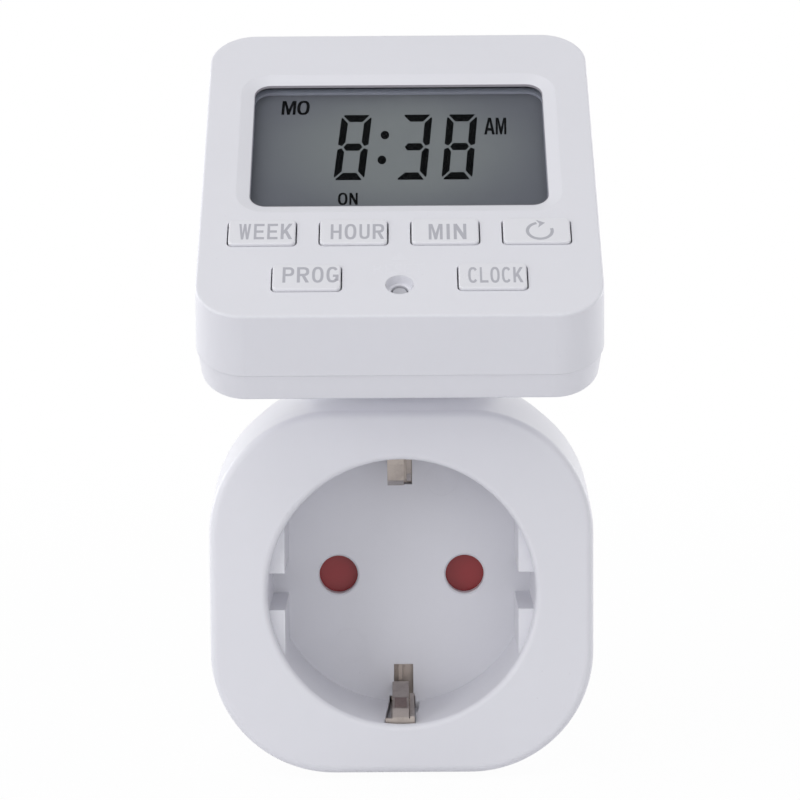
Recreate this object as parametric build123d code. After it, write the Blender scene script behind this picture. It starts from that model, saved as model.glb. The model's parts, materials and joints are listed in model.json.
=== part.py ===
from build123d import *
import math
import os

# Plug-in digital timer switch: an earthed socket housing that plugs into a wall socket, with a
# tilted display head on a neck above it.
#
# Lengths are millimetres. The origin is the centre of the plug's end face. +X is to the right
# seen from the front, +Y points into the wall and +Z points up, so the front faces -Y.

# ---------------------------------------------------------------- driving dimensions: the plug
PIN_SPACING = 19.0
PIN_RADIUS = 2.4
PIN_LENGTH = 19.0
PIN_TIP_FILLET = 2.0
PIN_ROOT_RADIUS = 2.0
PIN_RELIEF = 0.45
PIN_INNER_LENGTH = 6.0
PIN_COLLAR_RADIUS = 3.5
PIN_COLLAR_LENGTH = 1.5
PLUG_RADIUS = 18.5
PLUG_LENGTH = 17.0
PLUG_WALL = 2.4
PLUG_END_WALL = 3.0
PLUG_EDGE_FILLET = 0.8
PLUG_FLAT_X = 16.6
PLUG_RIB_HEIGHT = 4.6

# ------------------------------------------------------------- driving dimensions: the housing
BODY_WIDTH = 55.6
BODY_HEIGHT = 53.1
BODY_CORNER = 17.9
BODY_EDGE_FILLET = 1.2
BODY_REAR_FILLET = 1.5
FRONT_SHELL_DEPTH = 26.0
REAR_SHELL_DEPTH = 20.0
BODY_DRAFT = 2.0
BODY_STEP = 0.25
WALL = 2.2
WELL_RADIUS = 19.45
WELL_DEPTH = 17.5
WELL_WALL = 1.8
WELL_RIM_FILLET = 0.9
FLOOR = 2.0
LAND_X = 17.0
LAND_DEPTH = 2.0
NOTCH_HEIGHT = 5.4
PIN_HOLE_RADIUS = 2.9
PIN_HOLE_CHAMFER = 0.25
CASE_SCREW_INSET = 9.15
CASE_SCREW_RADIUS = 1.3
CASE_SCREW_LENGTH = 22.0
CASE_SCREW_HEAD_RADIUS = 2.5
CASE_SCREW_HEAD = 1.8
CASE_SCREW_RECESS = 2.2
CASE_BOSS_RADIUS = 3.2
CASE_TUBE_RADIUS = 3.5

# ---------------------------------------------------------------- driving dimensions: the head
HEAD_WIDTH = 55.9
HEAD_LENGTH = 64.2
HEAD_CORNER = 6.6
HEAD_FRONT_DEPTH = 10.5
HEAD_REAR_DEPTH = 5.2
HEAD_DRAFT = 2.4
HEAD_STEP = 0.2
HEAD_WALL = 1.8
HEAD_EDGE_FILLET = 0.35
HEAD_REAR_FILLET = 0.8
HEAD_RISE = 61.5
HEAD_TILT = 52.8
WINDOW_SIDE_MARGIN = 6.75
WINDOW_TOP_MARGIN = 11.75
WINDOW_KEY_GAP = 4.05
WINDOW_CORNER = 2.4
WINDOW_BEVEL = 1.9
WINDOW_BEVEL_DEPTH = 0.6
LENS_MARGIN = 1.3
LENS_THICKNESS = 1.0
LENS_DEPTH = 1.0
LCD_MARGIN = 1.8
LCD_THICKNESS = 1.8
LCD_GAP = 0.4
REFLECTOR_THICKNESS = 0.3
LCD_FRAME_WALL = 0.8
ZEBRA_WIDTH = 1.8
ZEBRA_END_GAP = 2.0
CONTROL_BOARD_DEPTH = 7.0
CONTROL_BOARD_THICKNESS = 1.2
CONTROL_BOARD_MARGIN = 0.8
HEAD_SCREW_SIDE_INSET = 5.35
HEAD_SCREW_END_INSET = 4.9
HEAD_SCREW_RADIUS = 1.1
HEAD_SCREW_LENGTH = 8.0
HEAD_SCREW_HEAD_RADIUS = 2.0
HEAD_SCREW_HEAD = 1.4
HEAD_BOSS_RADIUS = 2.8
HEAD_POST_RADIUS = 1.8
HEAD_POST_SIDE_INSET = 7.95
HEAD_POST_TOP_INSET = 14.1
HEAD_POST_PITCH = 26.0
NECK_WIDTH = 30.0
NECK_DEPTH = 16.5
NECK_CORNER = 6.0
NECK_WALL = 2.0
NECK_FILLET = 1.5
NECK_SETBACK = 14.5
NECK_FLANGE_LIP = 2.0
NECK_FLANGE = 1.6

# ---------------------------------------------------------------- driving dimensions: the keys
KEY_SPACING = 3.4
KEY_HEIGHT = 5.3
KEY_CORNER = 0.7
KEY_GAP = 0.2
KEY_END_GAP = 0.07
KEY_PROUD = 0.45
KEY_TOP_FILLET = 0.25
KEY_FLANGE_LIP = 0.7
KEY_FLANGE = 0.8
KEY_STEM_RADIUS = 1.5
KEY_SIDE_MARGIN = 8.825
KEY_BOTTOM_MARGIN = 7.8
KEY_ROW_PITCH = 9.7
KEY_TRAVEL = 0.5
RESET_DROP = 1.3
RESET_RECESS_RADIUS = 1.95
RESET_RECESS_FLOOR_RADIUS = 1.7
RESET_HOLE_RADIUS = 1.2
RESET_RECESS_DEPTH = 1.2
RESET_SINK = 1.45
RESET_FLANGE_RADIUS = 2.0
SWITCH_WIDTH = 4.5
SWITCH_HEIGHT = 3.0
PLUNGER_RADIUS = 1.6
PLUNGER_REST = 0.1
PLUNGER_DEPTH = 1.2
PLUNGER_POCKET = 2.0

# ---------------------------------------------- driving dimensions: contacts, shutter and boards
RUNNING_CLEARANCE = 0.05
FIT_CLEARANCE = 0.15
MOVING_CLEARANCE = 0.2
METAL = 0.7
EARTH_WIDTH = 3.6
EARTH_SINK = 0.3
EARTH_WELL_GAP = 0.1
EARTH_END_GAP = 0.9
EARTH_BEND = 3.0
EARTH_CHANNEL_START = 1.2
EARTH_CHANNEL_LEFT = ((0.0, -2.65), (15.6, -2.02))
EARTH_CHANNEL_RIGHT = ((15.6, 2.58), (9.0, 2.34), (6.9, 2.02), (0.0, 1.9))
EARTH_SLOT_WIDTH = 2.9
EARTH_SLOT_X = 0.2
EARTH_SLOT_LEAD = 1.0
EARTH_FOOT_LEFT = 2.5
TONGUE_WIDTH = 2.4
TONGUE_RISE = 4.75
TONGUE_APEX_DEPTH = 8.5
TONGUE_TAIL = (2.5, 0.4)
TONGUE_END_RISE = 3.2
TONGUE_END = (1.6, 0.35)
UPPER_TONGUE_X = -0.78
UPPER_TONGUE_ROOT = (0.5, 0.7)
UPPER_TONGUE_RAMP = (2.1, 1.25)
LOWER_TONGUE_X = -0.26
LOWER_TONGUE_SHOULDER = (1.0, 1.0)
LOWER_TONGUE_RAMP = (3.0, 1.4)
FINGER_WIDTH = 0.68
FINGER_RAMP = (2.2, 1.6)
FINGER_TAIL = (5.0, 0.9)
UPPER_FINGER_X = 0.81
UPPER_FINGER_RISE = 4.1
LOWER_FINGER_X = 1.1
LOWER_FINGER_RISE = 3.0
HEEL_SIDE = 1.7
HEEL_RIB = (-0.6, 0.05)
HEEL_RIB_RISE = 0.9
CONTACT_LEAF = 0.5
CONTACT_HEIGHT = 6.0
CONTACT_PINCH = 2.1
CONTACT_MOUTH = 3.0
CONTACT_BASE = 3.2
CONTACT_STANDOFF = 1.5
LEAD_WIDTH = 3.0
SHUTTER_THICKNESS = 1.9
SHUTTER_BLADE = 3.4
SHUTTER_HUB_RADIUS = 3.6
SHUTTER_POST_RADIUS = 1.5
CARRIER_THICKNESS = 1.5
CARRIER_WIDTH = 31.0
CARRIER_HEIGHT = 13.0
CARRIER_ARM_WIDTH = 13.0
CARRIER_ARM_HEIGHT = 29.0
CARRIER_SCREW_Z = 10.5
CARRIER_SCREW_RADIUS = 1.0
CARRIER_SCREW_HEAD_RADIUS = 1.9
CARRIER_SCREW_HEAD = 1.1
CARRIER_BOSS_RADIUS = 2.4
SPRING_RADIUS = 0.75
SPRING_WIRE = 0.15
SPRING_TURNS = 7
SPRING_X = 4.3
SPRING_LENGTH = 8.8
SPRING_LUG_WIDTH = 2.4
SMALL_SCREW_SLOT = 0.5
LARGE_SCREW_SLOT = 0.7
BOARD_THICKNESS = 1.5
BOARD_MARGIN = 1.4
BOARD_SCREW_EDGE = 3.35
BOARD_SCREW_GAP = 1.05
BOARD_SCREW_LENGTH = 4.5
BOARD_SCREW_RADIUS = 1.0
BOARD_SCREW_HEAD_RADIUS = 1.9
BOARD_SCREW_HEAD = 1.2
BOARD_POST_RADIUS = 2.2
RELAY_EDGE_GAP = 0.6
RELAY_WIDTH = 7.2
RELAY_HEIGHT = 16.0
RELAY_DEPTH = 14.6
RELAY_WALL = 0.7
RELAY_BASE = 1.2
RELAY_IRON = 0.8
COIL_AXIS = 4.3
COIL_FLANGE = 0.6
COIL_FLANGE_LIP = 0.2
CORE_RADIUS = 1.1
POLE_RADIUS = 2.0
POLE_THICKNESS = 0.5
POLE_HEIGHT = 8.2
ARMATURE_GAP = 0.6
ARMATURE_REACH = 4.5
ARMATURE_PLATE = 0.7
CONTACT_SPRING = 0.3
CONTACT_SPRING_WIDTH = 3.0
CONTACT_SPRING_RISE = 4.4
CONTACT_BUTTON_RADIUS = 0.9
CONTACT_BUTTON_RISE = 3.4
CONTACT_OPENING = 1.0
FIXED_CONTACT = 0.6
FIXED_CONTACT_RISE = 2.4
CAPACITOR_EDGE_GAP = 0.6
CAPACITOR_WIDTH = 7.0
CAPACITOR_HEIGHT = 15.0
CAPACITOR_DEPTH = 14.0
CAPACITOR_CORNER = 0.6
CAN_X = -7.6
CAN_EDGE_GAP = 3.35
CAN_RADIUS = 4.0
CAN_LENGTH = 11.5
CAN_FILLET = 0.5
VARISTOR_X = 8.0
VARISTOR_EDGE_GAP = 6.55
VARISTOR_RADIUS = 4.2
VARISTOR_THICKNESS = 3.6
VARISTOR_STAND = 0.8
LEG_SIZE = 0.6
LEG_SPREAD = 2.2
DIODE_RADIUS = 1.1
DIODE_LENGTH = 4.0
DIODE_PITCH = 2.6
DIODE_X = -5.0
DIODE_Z = 10.0
RESISTOR_RADIUS = 1.2
RESISTOR_LENGTH = 6.4
RESISTOR_PITCH = 2.9
RESISTOR_GAP = 1.5
RESISTOR_FILLET = 0.4
RIBBON_X = 7.4
RIBBON_WIDTH = 7.0
RIBBON_THICKNESS = 0.9
RIBBON_BEND = 5.0
CONNECTOR_WALL = 1.0
CONNECTOR_WIDTH = 4.5
CONNECTOR_HEIGHT = 4.0
CONNECTOR_EDGE_GAP = 3.1
HEAD_CONNECTOR_HEIGHT = 3.5
PROCESSOR_PLACE = (6.0, -4.0)
PROCESSOR_RADIUS = 6.0
PROCESSOR_THICKNESS = 1.6
PROCESSOR_FILLET = 0.9
CRYSTAL_PLACE = (15.0, -14.0)
CRYSTAL_RADIUS = 1.05
CRYSTAL_LENGTH = 6.2
BATTERY_PLACE = (-12.0, -17.0)
BATTERY_RADIUS = 5.75
BATTERY_THICKNESS = 3.4
BATTERY_FILLET = 0.6
BATTERY_TAB = 0.3
BATTERY_TAB_WIDTH = 3.0
BATTERY_TAB_LENGTH = 16.0

# ------------------------------------------------------------------------------ derived places
REAR_Y = -PLUG_LENGTH
PARTING_Y = REAR_Y - REAR_SHELL_DEPTH
FRONT_Y = PARTING_Y - FRONT_SHELL_DEPTH
FLOOR_Y = FRONT_Y + WELL_DEPTH
FLOOR_BACK_Y = FLOOR_Y + FLOOR
SHUTTER_FRONT_Y = FLOOR_BACK_Y + MOVING_CLEARANCE
SHUTTER_BACK_Y = SHUTTER_FRONT_Y + SHUTTER_THICKNESS
CARRIER_FRONT_Y = SHUTTER_BACK_Y + MOVING_CLEARANCE
CARRIER_BACK_Y = CARRIER_FRONT_Y + CARRIER_THICKNESS
CONTACT_FRONT_Y = CARRIER_BACK_Y + 3 * MOVING_CLEARANCE
CONTACT_BASE_Y = FLOOR_Y + PIN_LENGTH + CONTACT_LEAF
BOARD_FRONT_Y = CONTACT_BASE_Y + CONTACT_STANDOFF
BOARD_BACK_Y = BOARD_FRONT_Y + BOARD_THICKNESS
REAR_INNER_Y = REAR_Y - WALL
PIN_X = PIN_SPACING / 2
CASE_SCREW_X = BODY_WIDTH / 2 - CASE_SCREW_INSET
CASE_SCREW_Z = BODY_HEIGHT / 2 - CASE_SCREW_INSET
EARTH_PLUG_RADIUS = PLUG_RADIUS - EARTH_SINK
EARTH_WELL_RADIUS = WELL_RADIUS + EARTH_WELL_GAP
TONGUE_APEX = WELL_RADIUS - TONGUE_RISE
EARTH_SLOT_RADIUS = TONGUE_APEX - EARTH_SLOT_LEAD
BOARD_EDGE_X = BODY_WIDTH / 2 - WALL - BOARD_MARGIN
BOARD_EDGE_Z = BODY_HEIGHT / 2 - WALL - BOARD_MARGIN
RELAY_X = BOARD_EDGE_X - RELAY_EDGE_GAP - RELAY_WIDTH / 2
RELAY_SEAT_Y = BOARD_FRONT_Y - RELAY_BASE
RELAY_LOW_Z = -RELAY_HEIGHT / 2 + RELAY_WALL + FIT_CLEARANCE
ARMATURE_Y = RELAY_SEAT_Y - FIT_CLEARANCE
ARMATURE_Z = RELAY_LOW_Z + POLE_HEIGHT + ARMATURE_GAP
BOARD_SCREW_X = BOARD_EDGE_X - BOARD_SCREW_EDGE
BOARD_SCREW_Z = RELAY_HEIGHT / 2 + BOARD_SCREW_GAP + BOARD_SCREW_HEAD_RADIUS
NECK_BACK_Y = FRONT_Y + NECK_SETBACK + NECK_DEPTH
HEAD_DEPTH = HEAD_FRONT_DEPTH + HEAD_REAR_DEPTH
HEAD_SCREW_X = HEAD_WIDTH / 2 - HEAD_SCREW_SIDE_INSET
HEAD_SCREW_V = HEAD_LENGTH / 2 - HEAD_SCREW_END_INSET
HEAD_POST_X = HEAD_WIDTH / 2 - HEAD_POST_SIDE_INSET
HEAD_POST_TOP_V = HEAD_LENGTH / 2 - HEAD_POST_TOP_INSET
KEY_PITCH = (HEAD_WIDTH - 2 * KEY_SIDE_MARGIN) / 3
KEY_WIDTH = KEY_PITCH - KEY_SPACING
KEY_ROW_LOWER_V = -HEAD_LENGTH / 2 + KEY_BOTTOM_MARGIN
KEY_ROW_UPPER_V = KEY_ROW_LOWER_V + KEY_ROW_PITCH
RESET_V = KEY_ROW_LOWER_V - RESET_DROP
WINDOW_LOW_V = KEY_ROW_UPPER_V + KEY_HEIGHT / 2 + WINDOW_KEY_GAP
WINDOW_HIGH_V = HEAD_LENGTH / 2 - WINDOW_TOP_MARGIN
WINDOW_V = (WINDOW_LOW_V + WINDOW_HIGH_V) / 2
WINDOW_WIDTH = HEAD_WIDTH - 2 * WINDOW_SIDE_MARGIN
WINDOW_HEIGHT = WINDOW_HIGH_V - WINDOW_LOW_V
LCD_WIDTH = WINDOW_WIDTH + 2 * LCD_MARGIN
LCD_HEIGHT = WINDOW_HEIGHT + 2 * LCD_MARGIN
LCD_DEPTH = LENS_DEPTH + LENS_THICKNESS + LCD_GAP
HEAD_FLOOR_DEPTH = HEAD_DEPTH - HEAD_WALL
BOARD_REAR_DEPTH = CONTROL_BOARD_DEPTH + CONTROL_BOARD_THICKNESS
SWITCH_TOP_DEPTH = CONTROL_BOARD_DEPTH - SWITCH_HEIGHT
STEM_DEPTH = SWITCH_TOP_DEPTH - KEY_TRAVEL - PLUNGER_REST
NECK_FRONT_Y = FRONT_Y + NECK_SETBACK
NECK_CENTRE_Y = (NECK_FRONT_Y + NECK_BACK_Y) / 2
NECK_FLANGE_WIDTH = BODY_WIDTH - 2 * BODY_CORNER
TILT = math.radians(HEAD_TILT)
NECK_MOUTH = NECK_CENTRE_Y - FRONT_Y - HEAD_FLOOR_DEPTH * math.cos(TILT)
HEAD_CONNECTOR_V = NECK_MOUTH / math.sin(TILT)
HEAD = Plane(
    origin=(0, FRONT_Y, HEAD_RISE), x_dir=(1, 0, 0), z_dir=(0, -math.cos(TILT), math.sin(TILT))
)
KEY_PLACES = {
    "week": (-1.5 * KEY_PITCH, KEY_ROW_UPPER_V),
    "hour": (-0.5 * KEY_PITCH, KEY_ROW_UPPER_V),
    "minute": (0.5 * KEY_PITCH, KEY_ROW_UPPER_V),
    "cycle": (1.5 * KEY_PITCH, KEY_ROW_UPPER_V),
    "program": (-KEY_PITCH, KEY_ROW_LOWER_V),
    "clock": (KEY_PITCH, KEY_ROW_LOWER_V),
}
SWITCH_PLACES = {**KEY_PLACES, "reset": (0.0, RESET_V)}

parts = {}


# ------------------------------------------------------------------------------------- helpers
def slab(outline, near, far):
    """Solid of an outline drawn in X and Z, from y = near back to y = far."""
    plane = Plane(origin=(0, far, 0), x_dir=(1, 0, 0), z_dir=(0, -1, 0))
    return extrude(plane * outline, amount=far - near)


def plate(outline, top, bottom):
    """Solid of an outline drawn on the head's face, between two depths below the face.
    It is made flat, in the head's own frame, and on_head puts it in place."""
    return extrude(Plane.XY.offset(-bottom) * outline, amount=bottom - top)


def on_head(shape):
    """The shape moved from the head's own frame to its place."""
    return HEAD.location * shape


def block(x, y, z):
    """Box between two limits on each axis."""
    size = (x[1] - x[0], y[1] - y[0], z[1] - z[0])
    corner = Pos(x[0], y[0], z[0])
    return corner * Box(*size, align=(Align.MIN, Align.MIN, Align.MIN))


def thick_line(points, thickness):
    """Flat outline of a bent strip that is centred on a line of points, with mitred bends."""
    half = thickness / 2
    sides = ([], [])
    for index, (a, b) in enumerate(points):
        before = points[max(index - 1, 0)]
        after = points[min(index + 1, len(points) - 1)]
        into = Vector(a - before[0], b - before[1])
        out = Vector(after[0] - a, after[1] - b)
        into = into.normalized() if index > 0 else out.normalized()
        out = out.normalized() if index < len(points) - 1 else into
        along = (into + out).normalized()
        reach = half / along.dot(into)
        sides[0].append((a - along.Y * reach, b + along.X * reach))
        sides[1].append((a + along.Y * reach, b - along.X * reach))
    return make_face(Polyline(*sides[0], *reversed(sides[1]), close=True))


def strip(points, thickness, x_from, x_to):
    """Bent strip with its line drawn in Y and Z, between two limits in X."""
    plane = Plane(origin=(x_from, 0, 0), x_dir=(0, 1, 0), z_dir=(1, 0, 0))
    return extrude(plane * thick_line(points, thickness), amount=x_to - x_from)


def growth(depth):
    """How far the housing's sides stand out at a depth behind its front face."""
    slope = math.tan(math.radians(BODY_DRAFT))
    if depth <= FRONT_SHELL_DEPTH:
        return depth * slope
    return (2 * FRONT_SHELL_DEPTH - depth) * slope - BODY_STEP


def body_block(near, far, inset=0.0, rear=False):
    """Drafted solid of the housing's rounded square between two depths, inset by a wall."""
    sections = []
    for depth in (near, far):
        edge = growth(depth + (1e-6 if rear else 0.0)) - inset
        outline = RectangleRounded(
            BODY_WIDTH + 2 * edge, BODY_HEIGHT + 2 * edge, BODY_CORNER + edge
        )
        plane = Plane(origin=(0, FRONT_Y + depth, 0), x_dir=(1, 0, 0), z_dir=(0, -1, 0))
        sections.append(plane * outline)
    return loft(sections, ruled=True)


def head_block(top, bottom, edge_top, edge_bottom):
    """Drafted solid of the head's rounded rectangle between two depths below its face."""
    sections = []
    for depth, edge in ((bottom, edge_bottom), (top, edge_top)):
        outline = RectangleRounded(
            HEAD_WIDTH + 2 * edge, HEAD_LENGTH + 2 * edge, HEAD_CORNER + edge
        )
        sections.append(Plane.XY.offset(-depth) * outline)
    return loft(sections, ruled=True)


def corners(x, y):
    """The four places at plus and minus x and y."""
    return [(sx * x, sy * y) for sx in (-1, 1) for sy in (-1, 1)]


def screw(radius, length, head_radius, head, slot):
    """Pan-head screw along +Z: head on top of z = 0, shank below it, with a cross recess."""
    body = extrude(Circle(head_radius), amount=head) + extrude(Circle(radius), amount=-length)
    body = fillet(body.edges().group_by(Axis.Z)[-1], head * 0.4)
    body = chamfer(body.edges().group_by(Axis.Z)[0], radius * 0.4)
    for turn in (0, 90):
        cut = Pos(0, 0, head) * Rot(0, 0, turn) * Box(head_radius * 1.2, slot, head)
        body -= cut
    return body


def screw_at(place, screw_shape):
    """Screw turned to run from the back towards the front (-Y), its head facing the back."""
    return Pos(*place) * Rot(-90, 0, 0) * screw_shape


# ------------------------------------------------------------------------------- housing shells
def socket_front_shell():
    shell = body_block(0, FRONT_SHELL_DEPTH)
    shell = fillet(shell.faces().sort_by(Axis.Y)[0].edges(), BODY_EDGE_FILLET)
    shell -= body_block(WALL, FRONT_SHELL_DEPTH, WALL)
    shell += slab(Circle(WELL_RADIUS + WELL_WALL), FRONT_Y + WALL / 2, FLOOR_BACK_Y)
    for x, z in corners(CASE_SCREW_X, CASE_SCREW_Z):
        shell += slab(Pos(x, z) * Circle(CASE_BOSS_RADIUS), FRONT_Y + WALL / 2, PARTING_Y)
    shell -= slab(Circle(WELL_RADIUS), FRONT_Y, FLOOR_Y)
    rim = shell.edges().filter_by(GeomType.CIRCLE).group_by(Axis.Y)[0]
    rim = rim.filter_by(lambda edge: abs(edge.radius - WELL_RADIUS) < FIT_CLEARANCE)
    shell = fillet(rim, WELL_RIM_FILLET)

    # Side lands with a guide notch, as every earthed round socket of this kind has.
    land = Circle(WELL_RADIUS + WELL_WALL / 2) - Rectangle(2 * LAND_X, 4 * WELL_RADIUS)
    land -= Rectangle(4 * WELL_RADIUS, NOTCH_HEIGHT)
    shell += slab(land, FRONT_Y + LAND_DEPTH, FLOOR_BACK_Y)

    for side in (-1, 1):
        hole = slab(Pos(side * PIN_X, 0) * Circle(PIN_HOLE_RADIUS), FLOOR_Y, FLOOR_BACK_Y)
        shell -= hole
        reach = EARTH_WELL_RADIUS + METAL + FIT_CLEARANCE
        start = EARTH_SLOT_RADIUS
        middle = side * (start + reach) / 2
        slot = Pos(EARTH_SLOT_X, middle) * Rectangle(EARTH_SLOT_WIDTH, reach - start)
        shell -= slab(slot, FLOOR_Y, FLOOR_BACK_Y)
        shell -= earth_channel(side, reach)
        boss = Pos(0, side * CARRIER_SCREW_Z) * Circle(CARRIER_BOSS_RADIUS)
        shell += slab(boss, FLOOR_BACK_Y, CARRIER_FRONT_Y)
        bore = Pos(0, side * CARRIER_SCREW_Z) * Circle(CARRIER_SCREW_RADIUS + RUNNING_CLEARANCE)
        shell -= slab(bore, FLOOR_BACK_Y - FLOOR / 2, CARRIER_FRONT_Y)
    for x, z in corners(CASE_SCREW_X, CASE_SCREW_Z):
        depth = CASE_SCREW_LENGTH + CASE_SCREW_RECESS + CASE_SCREW_HEAD
        bore = Pos(x, z) * Circle(CASE_SCREW_RADIUS + RUNNING_CLEARANCE)
        shell -= slab(bore, REAR_Y - depth - 1, PARTING_Y)
    holes = shell.edges().filter_by(GeomType.CIRCLE).filter_by(
        lambda edge: abs(edge.radius - PIN_HOLE_RADIUS) < RUNNING_CLEARANCE
    )
    shell = chamfer(holes.group_by(Axis.Y)[0], PIN_HOLE_CHAMFER)
    return shell - neck_column(FIT_CLEARANCE)


def earth_channel(side, reach):
    """Channel in the well's wall that starts behind the rim, where an earth strip lies, and
    the strip's own way on through the floor."""
    front = FRONT_Y + EARTH_CHANNEL_START
    points = [(x, front + depth) for depth, x in EARTH_CHANNEL_LEFT + EARTH_CHANNEL_RIGHT]
    low = WELL_RADIUS - WELL_WALL / 2
    outline = make_face(Polyline(*points, close=True))
    channel = extrude(Plane.XY.offset(low) * outline, amount=reach - low)
    half = EARTH_WIDTH / 2 + FIT_CLEARANCE
    end = front + EARTH_CHANNEL_LEFT[-1][0]
    channel += block((-half, half), (end - METAL, FLOOR_BACK_Y), (low, reach))
    return channel if side > 0 else mirror(channel, about=Plane.XY)


def socket_rear_shell():
    depth = FRONT_SHELL_DEPTH + REAR_SHELL_DEPTH
    shell = body_block(FRONT_SHELL_DEPTH, depth, rear=True)
    shell = fillet(shell.faces().sort_by(Axis.Y)[-1].edges(), BODY_REAR_FILLET)
    shell -= body_block(FRONT_SHELL_DEPTH, depth - WALL, WALL, rear=True)
    shell += plug_boss()
    inner = PLUG_RADIUS - PLUG_WALL
    cavity = Circle(inner) & Rectangle(2 * (PLUG_FLAT_X - PLUG_WALL), 2 * inner)
    shell -= slab(cavity, REAR_INNER_Y, -PLUG_END_WALL)
    for x, z in corners(CASE_SCREW_X, CASE_SCREW_Z):
        shell += slab(Pos(x, z) * Circle(CASE_TUBE_RADIUS), PARTING_Y, REAR_Y - WALL / 2)
        seat = REAR_Y - CASE_SCREW_RECESS - CASE_SCREW_HEAD
        recess = Circle(CASE_SCREW_HEAD_RADIUS + MOVING_CLEARANCE)
        shell -= slab(Pos(x, z) * recess, seat, REAR_Y)
        bore = Circle(CASE_SCREW_RADIUS + FIT_CLEARANCE)
        shell -= slab(Pos(x, z) * bore, PARTING_Y, seat)
    for x, z in corners(BOARD_SCREW_X, BOARD_SCREW_Z):
        shell += slab(Pos(x, z) * Circle(BOARD_POST_RADIUS), BOARD_BACK_Y, REAR_Y - WALL / 2)
        bore = Circle(BOARD_SCREW_RADIUS + RUNNING_CLEARANCE)
        shell -= slab(Pos(x, z) * bore, BOARD_BACK_Y, REAR_INNER_Y)
    for side in (-1, 1):
        hole = Pos(side * PIN_X, 0) * Circle(PIN_ROOT_RADIUS + RUNNING_CLEARANCE)
        shell -= slab(hole, -PLUG_END_WALL, 0)
        seat = Pos(side * PIN_X, 0) * Circle(PIN_RADIUS + RUNNING_CLEARANCE)
        shell -= slab(seat, -PIN_RELIEF, 0)
        shell -= earth_recess(side)
    return shell - neck_column(FIT_CLEARANCE)


def plug_boss():
    """Round plug body with a flat and a guide rib on each side."""
    outline = Circle(PLUG_RADIUS) & Rectangle(2 * PLUG_FLAT_X, 2 * PLUG_RADIUS)
    rib_reach = PLUG_RADIUS - FIT_CLEARANCE
    outline += Rectangle(2 * rib_reach, PLUG_RIB_HEIGHT) & Circle(PLUG_RADIUS)
    boss = slab(outline, REAR_INNER_Y, 0)
    return fillet(boss.faces().sort_by(Axis.Y)[-1].edges(), PLUG_EDGE_FILLET)


def earth_recess(side):
    """Groove along the plug boss that holds an earth strip, and its way through the wall."""
    half = EARTH_WIDTH / 2 + FIT_CLEARANCE
    floor = EARTH_PLUG_RADIUS - METAL - RUNNING_CLEARANCE
    roof = EARTH_PLUG_RADIUS + FIT_CLEARANCE
    end = -EARTH_END_GAP + FIT_CLEARANCE
    groove = block((-half, half), (REAR_Y, end), (floor, PLUG_RADIUS + METAL))
    groove += block((-half, half), (REAR_INNER_Y - METAL, REAR_Y), (floor, roof))
    return groove if side > 0 else mirror(groove, about=Plane.XY)


# ------------------------------------------------------------------------------------ the neck
def neck_column(gap=0.0, inset=0.0):
    """Upright prism of the neck, grown by a gap or shrunk by a wall."""
    edge = gap - inset
    outline = RectangleRounded(
        NECK_WIDTH + 2 * edge, NECK_DEPTH + 2 * edge, NECK_CORNER + edge
    )
    low = neck_bottom() if inset == 0.0 else 0.0
    return extrude(Pos(0, NECK_CENTRE_Y, low) * outline, amount=HEAD_RISE + HEAD_LENGTH)


def neck_bottom():
    """Height of the neck's lower end, just inside the housing's roof."""
    return BODY_HEIGHT / 2 - WALL - NECK_FLANGE - FIT_CLEARANCE


def below_head(depth):
    """Everything on the rear side of a plane at a depth below the head's face."""
    size = 4 * HEAD_LENGTH
    return on_head(Pos(0, 0, -depth - size / 2) * Box(size, size, size))


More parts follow.
